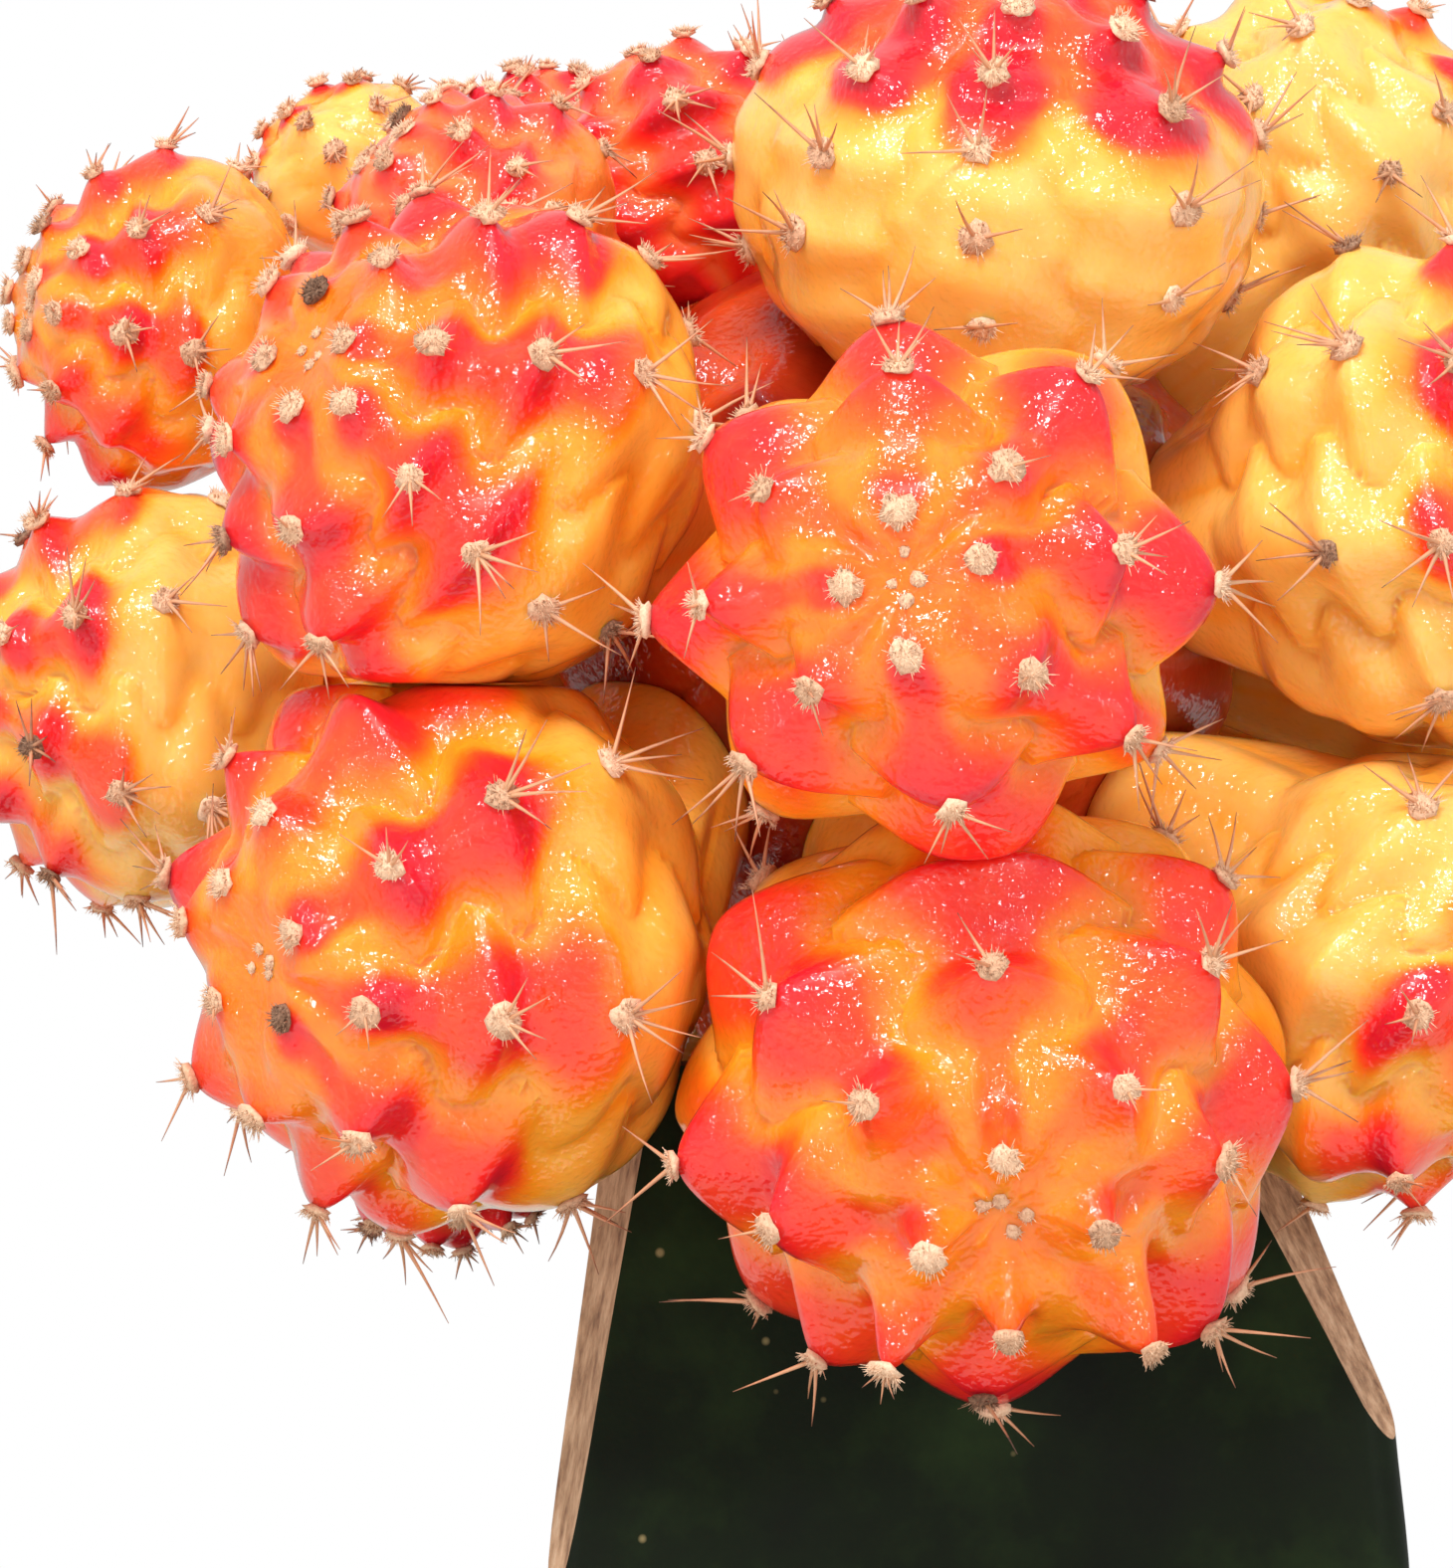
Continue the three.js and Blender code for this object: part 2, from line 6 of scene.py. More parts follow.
import logging
import math
import random
from dataclasses import dataclass, field
from enum import Enum
from typing import Iterable, Optional, Sequence

import bmesh
import bpy
import numpy as np
from mathutils import Matrix, Vector, noise


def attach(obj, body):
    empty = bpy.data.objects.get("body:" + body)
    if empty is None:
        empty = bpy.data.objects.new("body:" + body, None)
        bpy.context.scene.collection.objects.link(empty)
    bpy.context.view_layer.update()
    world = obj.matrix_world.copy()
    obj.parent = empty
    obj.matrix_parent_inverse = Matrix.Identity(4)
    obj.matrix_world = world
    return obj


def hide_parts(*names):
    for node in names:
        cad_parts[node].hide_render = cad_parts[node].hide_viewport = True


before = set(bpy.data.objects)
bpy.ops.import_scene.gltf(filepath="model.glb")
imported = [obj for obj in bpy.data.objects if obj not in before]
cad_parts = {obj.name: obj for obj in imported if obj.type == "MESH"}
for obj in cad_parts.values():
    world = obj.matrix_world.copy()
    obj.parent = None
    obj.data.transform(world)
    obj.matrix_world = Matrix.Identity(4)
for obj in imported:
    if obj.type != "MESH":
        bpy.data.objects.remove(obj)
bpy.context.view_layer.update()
LOG = logging.getLogger("moon_cactus")

MM = 0.001
TURN = 2 * math.pi
NOISE_SPAN = {"From Min": 0.3, "From Max": 0.7}  # what most of a noise texture's values lie between


# ---------------------------------------------------------------- shared tools


class Slot(Enum):
    """The material slots that the record names."""

    TERRACOTTA = "terracotta"
    POTTING_MIX = "potting_mix"
    GREEN_STEM = "green_stem"
    DEEP_RED = "flesh_deep_red"
    ORANGE_RED = "flesh_orange_red"
    YELLOW = "flesh_yellow"
    CRIMSON = "flesh_crimson"


def linear(hex_colour: str, alpha: float = 1.0) -> tuple[float, float, float, float]:
    """Turns an sRGB colour such as "#FF8A1E" into the linear values that shaders take.

    Args:
        hex_colour: the colour as a hash sign and six digits.
        alpha: the fourth value.

    Returns:
        Linear red, green, blue and alpha.
    """
    parts = [int(hex_colour[i : i + 2], 16) / 255 for i in (1, 3, 5)]
    red, green, blue = [p / 12.92 if p <= 0.04045 else ((p + 0.055) / 1.055) ** 2.4 for p in parts]
    return red, green, blue, alpha


def per_metre(size_mm: float) -> float:
    """The scale of a texture whose cells are this many millimetres wide."""
    return 1 / (size_mm * MM)


def add_node(
    tree: bpy.types.NodeTree,
    kind: str,
    inputs: Optional[dict] = None,
    stops: Sequence[tuple[float, str]] = (),
    **settings: object,
) -> bpy.types.Node:
    """Adds a node with its settings, its inputs' values or links, and a ramp's colours.

    Args:
        tree: the node tree.
        kind: the node's type name.
        inputs: a value or an output socket for each input, by name or index.
        stops: the places and sRGB colours of a colour ramp.
        **settings: the node's own properties.

    Returns:
        The new node.
    """
    node = tree.nodes.new(kind)
    for name, value in settings.items():
        setattr(node, name, value)
    for name, value in (inputs or {}).items():
        if isinstance(value, bpy.types.NodeSocket):
            tree.links.new(value, node.inputs[name])
        else:
            node.inputs[name].default_value = value
    for index, (place, colour) in enumerate(stops):
        ramp = node.color_ramp.elements
        element = ramp[index] if index < 2 else ramp.new(place)
        element.position = place
        element.color = linear(colour)
    return node


def smooth_step(low: float, high: float, value: np.ndarray) -> np.ndarray:
    """Rises smoothly from 0 at low to 1 at high."""
    share = np.clip((value - low) / (high - low), 0, 1)
    return share * share * (3 - 2 * share)


def unit(vector: Iterable[float]) -> np.ndarray:
    """The vector at length 1."""
    array = np.asarray(vector, float)
    return array / np.linalg.norm(array)


def square_to(direction: np.ndarray) -> tuple[np.ndarray, np.ndarray]:
    """Finds two directions that are square to one another and to a third.

    Args:
        direction: the third, of length 1.

    Returns:
        Both, of length 1.
    """
    helper = np.array([0.0, 0.0, 1.0]) if abs(direction[2]) < 0.9 else np.array([1.0, 0.0, 0.0])
    across = unit(np.cross(helper, direction))
    return across, np.cross(direction, across)


def mesh_from(bm: bmesh.types.BMesh, name: str) -> bpy.types.Mesh:
    """Turns a bmesh into a mesh and frees it.

    Args:
        bm: the bmesh, which can't be used after this.
        name: the mesh's name.

    Returns:
        The mesh.
    """
    mesh = bpy.data.meshes.new(name)
    bm.to_mesh(mesh)
    bm.free()
    return mesh


def settled(bm: bmesh.types.BMesh) -> bmesh.types.BMesh:
    """Makes a copy without the gaps that deleted parts leave, so that new parts come last in it.

    Args:
        bm: the bmesh, which can't be used after this.

    Returns:
        The copy.
    """
    mesh = mesh_from(bm, "settled")
    copy = bmesh.new()
    copy.from_mesh(mesh)
    bpy.data.meshes.remove(mesh)
    return copy


def show(mesh: bpy.types.Mesh, name: str, materials: Sequence[bpy.types.Material]) -> bpy.types.Object:
    """Puts a mesh in the scene as an object at the origin.

    Args:
        mesh: the mesh, with its place in its vertices, in metres.
        name: the object's name.
        materials: its materials, in the order of its faces' indices.

    Returns:
        The object.
    """
    for material in materials:
        mesh.materials.append(material)
    piece = bpy.data.objects.new(name, mesh)
    bpy.context.scene.collection.objects.link(piece)
    return piece


def tie(piece: bpy.types.Object, node: str) -> None:
    """Lets a piece stand for its CAD node, on the part's one body, and reports it.

    Args:
        piece: the piece.
        node: the node that it replaces.
    """
    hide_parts(node)
    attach(piece, "root")
    LOG.info("%s: %d faces", piece.name, len(piece.data.polygons))


def bell(value: np.ndarray, width: float) -> np.ndarray:
    """Falls smoothly from 1 at 0 to a third at the width and on towards 0."""
    return np.exp(-((value / width) ** 2))


def vertex_places(mesh: bpy.types.Mesh) -> np.ndarray:
    """Reads the places of a mesh's vertices.

    Args:
        mesh: the mesh.

    Returns:
        One row for each vertex, in metres.
    """
    places = np.empty(len(mesh.vertices) * 3, np.float64)
    mesh.vertices.foreach_get("co", places)
    return places.reshape(-1, 3)


def set_tones(mesh: bpy.types.Mesh, tones: np.ndarray) -> None:
    """Keeps a number for each vertex in the mesh, which the materials read as "tone"."""
    attribute = mesh.attributes.new("tone", "FLOAT", "POINT")
    attribute.data.foreach_set("value", tones.astype(np.float32))


def grow_copies(
    bm: bmesh.types.BMesh,
    template: bpy.types.Mesh,
    places: np.ndarray,
    tones: np.ndarray,
    material: int,
) -> None:
    """Adds copies of a small mesh, each with its own vertex places.

    Args:
        bm: what the copies are added to.
        template: the small mesh.
        places: copies × vertices × 3, in metres.
        tones: copies × vertices.
        material: the material index of the new faces.
    """
    for _ in range(len(places)):
        bm.from_mesh(template)
    bm.verts.ensure_lookup_table()
    bm.faces.ensure_lookup_table()
    layer = bm.verts.layers.float.get("tone") or bm.verts.layers.float.new("tone")
    count = len(places) * len(template.vertices)
    new_verts = bm.verts[len(bm.verts) - count :]
    for vert, place, tone in zip(new_verts, places.reshape(-1, 3), tones.reshape(-1)):
        vert.co = place
        vert[layer] = tone
    for face in bm.faces[len(bm.faces) - len(places) * len(template.polygons) :]:
        face.material_index = material
        face.smooth = True


# ---------------------------------------------------------------- finishes


@dataclass(frozen=True)
class Finish:
    """A material: its name, and what it is and how its surface came about."""

    name: str

    def build(self) -> bpy.types.Material:
        """Makes the material from the surface that each finish describes.

        Returns:
            The material.
        """
        material = bpy.data.materials.new(self.name)
        material.use_nodes = True
        tree = material.node_tree
        tree.nodes.clear()
        shader = self.surface(tree)
        add_node(tree, "ShaderNodeOutputMaterial", {"Surface": shader.outputs[0]})
        return material

    def surface(self, tree: bpy.types.NodeTree) -> bpy.types.Node:
        """Adds the nodes of the surface to a tree and returns its shader."""
        raise NotImplementedError

    @staticmethod
    def object_place(tree: bpy.types.NodeTree) -> bpy.types.NodeSocket:
        """The place on the object, in metres."""
        return add_node(tree, "ShaderNodeTexCoord").outputs["Object"]

    @staticmethod
    def tone(tree: bpy.types.NodeTree) -> bpy.types.NodeSocket:
        """The number that the mesh keeps for each vertex."""
        return add_node(tree, "ShaderNodeAttribute", attribute_name="tone").outputs["Fac"]


@dataclass(frozen=True)
class WaxyFlesh(Finish):
    """Water-filled cactus flesh without green in it, under a thin waxy skin.

    The tone runs from the pale base of a head to its reddest ridges, and to a deep red in the hollow under
    each areole that is partly painted shade. Light sinks in and glows in the folds. The wax over the skin
    is pebbled in cells of about 0.15 mm, drawn coarser here so that they still break each highlight into
    glints. Lengths are in millimetres.
    """

    palette: tuple[str, ...] = ("#FAB24C", "#FC961E", "#FF7414", "#FC4A1C", "#F02422", "#D0142A")
    mottle: float = 2.2
    mottle_swing: float = 0.07
    fold: float = 1.1
    fold_depth: float = 0.03
    pebble: float = 0.36
    pebble_depth: float = 0.2
    glow: float = 1.2

    def surface(self, tree: bpy.types.NodeTree) -> bpy.types.Node:
        """Adds the flesh's mottled colours, its glow, and the gloss of its pebbled wax.

        Args:
            tree: the material's node tree.

        Returns:
            The shader.
        """
        place = self.object_place(tree)
        mottle = add_node(
            tree, "ShaderNodeTexNoise", {"Vector": place, "Scale": per_metre(self.mottle), "Detail": 4.0}
        )
        swing = add_node(
            tree,
            "ShaderNodeMapRange",
            {
                "Value": mottle.outputs["Fac"],
                **NOISE_SPAN,
                "To Min": -self.mottle_swing,
                "To Max": self.mottle_swing,
            },
        )
        tone = add_node(
            tree, "ShaderNodeMath", {0: self.tone(tree), 1: swing.outputs["Result"]}, operation="ADD"
        )
        last = len(self.palette) - 1
        stops = [(index / last, colour) for index, colour in enumerate(self.palette)]
        colour = add_node(tree, "ShaderNodeValToRGB", {"Fac": tone.outputs[0]}, stops)
        wax = add_node(
            tree,
            "ShaderNodeTexNoise",
            {"Vector": place, "Scale": per_metre(self.pebble), "Detail": 1.0, "Roughness": 0.4},
        )
        film = add_node(
            tree,
            "ShaderNodeTexNoise",
            {"Vector": place, "Scale": per_metre(self.fold), "Detail": 1.0, "Roughness": 0.5},
        )
        folds = add_node(
            tree,
            "ShaderNodeBump",
            {"Strength": 0.3, "Distance": self.fold_depth * MM, "Height": film.outputs["Fac"]},
        )
        # The coarser cells would draw dark scratches where the skin turns edge-on, so the gloss
        # grows smooth there, as the real, finer wax looks.
        facing = add_node(tree, "ShaderNodeLayerWeight", {"Blend": 0.5})
        seen = add_node(
            tree,
            "ShaderNodeMapRange",
            {
                "Value": facing.outputs["Facing"],
                "From Min": 0.25,
                "From Max": 0.7,
                "To Min": 1.0,
                "To Max": 0.08,
            },
        )
        pebbles = add_node(
            tree,
            "ShaderNodeBump",
            {
                "Strength": seen.outputs["Result"],
                "Distance": self.pebble_depth * MM,
                "Height": wax.outputs["Fac"],
                "Normal": folds.outputs["Normal"],
            },
        )
        return add_node(
            tree,
            "ShaderNodeBsdfPrincipled",
            {
                "Base Color": colour.outputs["Color"],
                "Roughness": 0.3,
                "IOR": 1.4,
                "Specular IOR Level": 0.15,
                "Subsurface Weight": 0.75,
                "Subsurface Radius": (1.0, 0.4, 0.12),
                "Subsurface Scale": self.glow * MM,
                "Coat Weight": 1.0,
                "Coat Roughness": 0.08,
                "Coat IOR": 1.52,
                "Coat Normal": pebbles.outputs["Normal"],
                "Normal": folds.outputs["Normal"],
            },
        )


@dataclass(frozen=True)
class AreoleFelt(Finish):
    """The short matted wool of an areole: cream felt that dries to grey-brown with age."""

    def surface(self, tree: bpy.types.NodeTree) -> bpy.types.Node:
        """Adds the felt's colour by age and its tufts.

        Args:
            tree: the material's node tree.

        Returns:
            The shader.
        """
        grain = add_node(
            tree,
            "ShaderNodeTexNoise",
            {"Vector": self.object_place(tree), "Scale": per_metre(0.16), "Detail": 3.0, "Roughness": 0.7},
        )
        shade = add_node(
            tree,
            "ShaderNodeMapRange",
            {"Value": grain.outputs["Fac"], **NOISE_SPAN, "To Min": -0.16, "To Max": 0.2},
        )
        age = add_node(
            tree, "ShaderNodeMath", {0: self.tone(tree), 1: shade.outputs["Result"]}, operation="ADD"
        )
        stops = [(0.0, "#F8D6B6"), (0.3, "#DEB290"), (0.7, "#94705A"), (1.0, "#4A362A")]
        colour = add_node(tree, "ShaderNodeValToRGB", {"Fac": age.outputs[0]}, stops)
        tufts = add_node(
            tree,
            "ShaderNodeBump",
            {"Strength": 0.8, "Distance": 0.08 * MM, "Height": grain.outputs["Fac"]},
        )
        return add_node(
            tree,
            "ShaderNodeBsdfPrincipled",
            {
                "Base Color": colour.outputs["Color"],
                "Roughness": 0.95,
                "Specular IOR Level": 0.2,
                "Normal": tufts.outputs["Normal"],
            },
        )


@dataclass(frozen=True)
class SpineHorn(Finish):
    """Stiff horny spines: pale pinkish tan at the root, browner towards the worn tip."""

    def surface(self, tree: bpy.types.NodeTree) -> bpy.types.Node:
        """Adds the horn's colour along the spine and its dull gloss.

        Args:
            tree: the material's node tree.

        Returns:
            The shader.
        """
        streak = add_node(
            tree, "ShaderNodeTexNoise", {"Vector": self.object_place(tree), "Scale": per_metre(0.5)}
        )
        swing = add_node(
            tree,
            "ShaderNodeMapRange",
            {"Value": streak.outputs["Fac"], **NOISE_SPAN, "To Min": -0.15, "To Max": 0.15},
        )
        along = add_node(
            tree, "ShaderNodeMath", {0: self.tone(tree), 1: swing.outputs["Result"]}, operation="ADD"
        )
        stops = [(0.0, "#D8A27A"), (0.5, "#C68A66"), (0.85, "#94614A"), (1.0, "#5A3C2E")]
        colour = add_node(tree, "ShaderNodeValToRGB", {"Fac": along.outputs[0]}, stops)
        ridges = add_node(
            tree,
            "ShaderNodeBump",
            {"Strength": 0.3, "Distance": 0.03 * MM, "Height": streak.outputs["Fac"]},
        )
        return add_node(
            tree,
            "ShaderNodeBsdfPrincipled",
            {
                "Base Color": colour.outputs["Color"],
                "Roughness": 0.5,
                "IOR": 1.54,
                "Subsurface Weight": 0.15,
                "Subsurface Radius": (1.0, 0.6, 0.35),
                "Subsurface Scale": 0.2 * MM,
                "Normal": ridges.outputs["Normal"],
            },
        )


@dataclass(frozen=True)
class StemSkin(Finish):
    """The living skin of the rootstock: near-black green with a dull bloom and a few cork dots."""

    def surface(self, tree: bpy.types.NodeTree) -> bpy.types.Node:
        """Adds cloudy greens, scattered dots and a fine grain.

        Args:
            tree: the material's node tree.

        Returns:
            The shader.
        """
        place = self.object_place(tree)
        cloud = add_node(
            tree,
            "ShaderNodeTexNoise",
            {"Vector": place, "Scale": per_metre(9), "Detail": 5.0, "Roughness": 0.6},
        )
        stops = [(0.3, "#070B05"), (0.5, "#101B0A"), (0.7, "#203114")]
        green = add_node(tree, "ShaderNodeValToRGB", {"Fac": cloud.outputs["Fac"]}, stops)
        dots = add_node(
            tree, "ShaderNodeTexVoronoi", {"Vector": place, "Scale": per_metre(2.8), "Randomness": 1.0}
        )
        near = add_node(
            tree,
            "ShaderNodeMapRange",
            {
                "Value": dots.outputs["Distance"],
                "From Min": 0.04,
                "From Max": 0.09,
                "To Min": 1.0,
                "To Max": 0.0,
            },
        )
        chosen = add_node(tree, "ShaderNodeSeparateColor", {"Color": dots.outputs["Color"]})
        few = add_node(
            tree, "ShaderNodeMath", {0: chosen.outputs["Red"], 1: 0.5}, operation="GREATER_THAN"
        )
        dot = add_node(
            tree, "ShaderNodeMath", {0: near.outputs["Result"], 1: few.outputs[0]}, operation="MULTIPLY"
        )
        colour = add_node(
            tree,
            "ShaderNodeMix",
            {"Factor": dot.outputs[0], 6: green.outputs["Color"], 7: linear("#8E8058")},
            data_type="RGBA",
        )
        grain = add_node(
            tree, "ShaderNodeTexNoise", {"Vector": place, "Scale": per_metre(0.35), "Detail": 4.0}
        )
        rough = add_node(
            tree,
            "ShaderNodeMapRange",
            {"Value": cloud.outputs["Fac"], **NOISE_SPAN, "To Min": 0.5, "To Max": 0.66},
        )
        bump = add_node(
            tree,
            "ShaderNodeBump",
            {"Strength": 0.35, "Distance": 0.06 * MM, "Height": grain.outputs["Fac"]},
        )
        return add_node(
            tree,
            "ShaderNodeBsdfPrincipled",
            {
                "Base Color": colour.outputs[2],
                "Roughness": rough.outputs["Result"],
                "Specular IOR Level": 0.14,
                "Normal": bump.outputs["Normal"],
            },
        )


@dataclass(frozen=True)
class CorkScar(Finish):
    """Cut stem dried to cork: tan fibres that run along the cut, with darker cracks."""

    def surface(self, tree: bpy.types.NodeTree) -> bpy.types.Node:
        """Adds long fibres by stretching the noise upwards.

        Args:
            tree: the material's node tree.

        Returns:
            The shader.
        """
        stretched = add_node(
            tree, "ShaderNodeMapping", {"Vector": self.object_place(tree), "Scale": (1.0, 1.0, 0.18)}
        )
        fibre = add_node(
            tree,
            "ShaderNodeTexNoise",
            {
                "Vector": stretched.outputs["Vector"],
                "Scale": per_metre(0.6),
                "Detail": 6.0,
                "Roughness": 0.65,
            },
        )
        stops = [(0.3, "#7A5844"), (0.45, "#B08A6A"), (0.6, "#D2AC8A"), (0.75, "#E4C8A8")]
        colour = add_node(tree, "ShaderNodeValToRGB", {"Fac": fibre.outputs["Fac"]}, stops)
        bump = add_node(
            tree,
            "ShaderNodeBump",
            {"Strength": 0.8, "Distance": 0.2 * MM, "Height": fibre.outputs["Fac"]},
        )
        return add_node(
            tree,
            "ShaderNodeBsdfPrincipled",
            {"Base Color": colour.outputs["Color"], "Roughness": 0.9, "Normal": bump.outputs["Normal"]},
        )


@dataclass(frozen=True)
class FiredClay(Finish):
    """Unglazed red clay, thrown and fired: sandy grain, turning lines and pale lime bloom."""

    def surface(self, tree: bpy.types.NodeTree) -> bpy.types.Node:
        """Adds the clay's mottling, its bloom and its turned grain.

        Args:
            tree: the material's node tree.

        Returns:
            The shader.
        """
        place = self.object_place(tree)
        mottle = add_node(
            tree,
            "ShaderNodeTexNoise",
            {"Vector": place, "Scale": per_metre(14), "Detail": 6.0, "Roughness": 0.6},
        )
        stops = [(0.3, "#9C4F31"), (0.5, "#B8633F"), (0.7, "#C97A55")]
        clay = add_node(tree, "ShaderNodeValToRGB", {"Fac": mottle.outputs["Fac"]}, stops)
        bloom = add_node(
            tree,
            "ShaderNodeTexNoise",
            {"Vector": place, "Scale": per_metre(22), "Detail": 8.0, "Roughness": 0.7, "Distortion": 0.5},
        )
        lime = add_node(
            tree,
            "ShaderNodeMapRange",
            {
                "Value": bloom.outputs["Fac"],
                "From Min": 0.52,
                "From Max": 0.74,
                "To Min": 0.0,
                "To Max": 0.5,
            },
        )
        colour = add_node(
            tree,
            "ShaderNodeMix",
            {"Factor": lime.outputs["Result"], 6: clay.outputs["Color"], 7: linear("#DCC2AE")},
            data_type="RGBA",
        )
        sand = add_node(
            tree,
            "ShaderNodeTexNoise",
            {"Vector": place, "Scale": per_metre(0.5), "Detail": 5.0, "Roughness": 0.7},
        )
        flattened = add_node(tree, "ShaderNodeMapping", {"Vector": place, "Scale": (0.02, 0.02, 1.0)})
        lines = add_node(
            tree,
            "ShaderNodeTexNoise",
            {"Vector": flattened.outputs["Vector"], "Scale": per_metre(1.4), "Detail": 3.0},
        )
        turned = add_node(
            tree,
            "ShaderNodeBump",
            {"Strength": 0.35, "Distance": 0.25 * MM, "Height": lines.outputs["Fac"]},
        )
        bump = add_node(
            tree,
            "ShaderNodeBump",
            {
                "Strength": 0.5,
                "Distance": 0.15 * MM,
                "Height": sand.outputs["Fac"],
                "Normal": turned.outputs["Normal"],
            },
        )
        return add_node(
            tree,
            "ShaderNodeBsdfPrincipled",
            {
                "Base Color": colour.outputs[2],
                "Roughness": 0.9,
                "Specular IOR Level": 0.25,
                "Normal": bump.outputs["Normal"],
            },
        )


@dataclass(frozen=True)
class CrumbledMatter(Finish):
    """Loose crumbs, such as peat, bark or perlite: each crumb's tone picks its colour."""

    colours: tuple[str, str, str]
    grain: float = 0.8

    def surface(self, tree: bpy.types.NodeTree) -> bpy.types.Node:
        """Adds the crumbs' mixed colours and their rough grain.

        Args:
            tree: the material's node tree.

        Returns:
            The shader.
        """
        crumbs = add_node(
            tree,
            "ShaderNodeTexNoise",
            {
                "Vector": self.object_place(tree),
                "Scale": per_metre(self.grain),
                "Detail": 6.0,
                "Roughness": 0.7,
            },
        )
        mixed = add_node(
            tree, "ShaderNodeMath", {0: self.tone(tree), 1: crumbs.outputs["Fac"]}, operation="ADD"
        )
        low, middle, high = self.colours
        stops = [(0.35, low), (0.6, middle), (0.95, high)]
        colour = add_node(tree, "ShaderNodeValToRGB", {"Fac": mixed.outputs[0]}, stops)
        bump = add_node(
            tree,
            "ShaderNodeBump",
            {"Strength": 0.9, "Distance": 0.4 * MM, "Height": crumbs.outputs["Fac"]},
        )
        return add_node(
            tree,
            "ShaderNodeBsdfPrincipled",
            {"Base Color": colour.outputs["Color"], "Roughness": 0.97, "Normal": bump.outputs["Normal"]},
        )


@dataclass(frozen=True)
class PaperSweep(Finish):
    """Matt white studio paper with a barely seen tooth."""

    def surface(self, tree: bpy.types.NodeTree) -> bpy.types.Node:
        """Adds the paper's even white and its faint tooth.

        Args:
            tree: the material's node tree.

        Returns:
            The shader.
        """
        tooth = add_node(
            tree, "ShaderNodeTexNoise", {"Vector": self.object_place(tree), "Scale": per_metre(1.2)}
        )
        bump = add_node(
            tree,
            "ShaderNodeBump",
            {"Strength": 0.1, "Distance": 0.1 * MM, "Height": tooth.outputs["Fac"]},
        )
        return add_node(
            tree,
            "ShaderNodeBsdfPrincipled",
            {"Base Color": linear("#ECEAE6"), "Roughness": 0.85, "Normal": bump.outputs["Normal"]},
        )


# ---------------------------------------------------------------- spines and wool


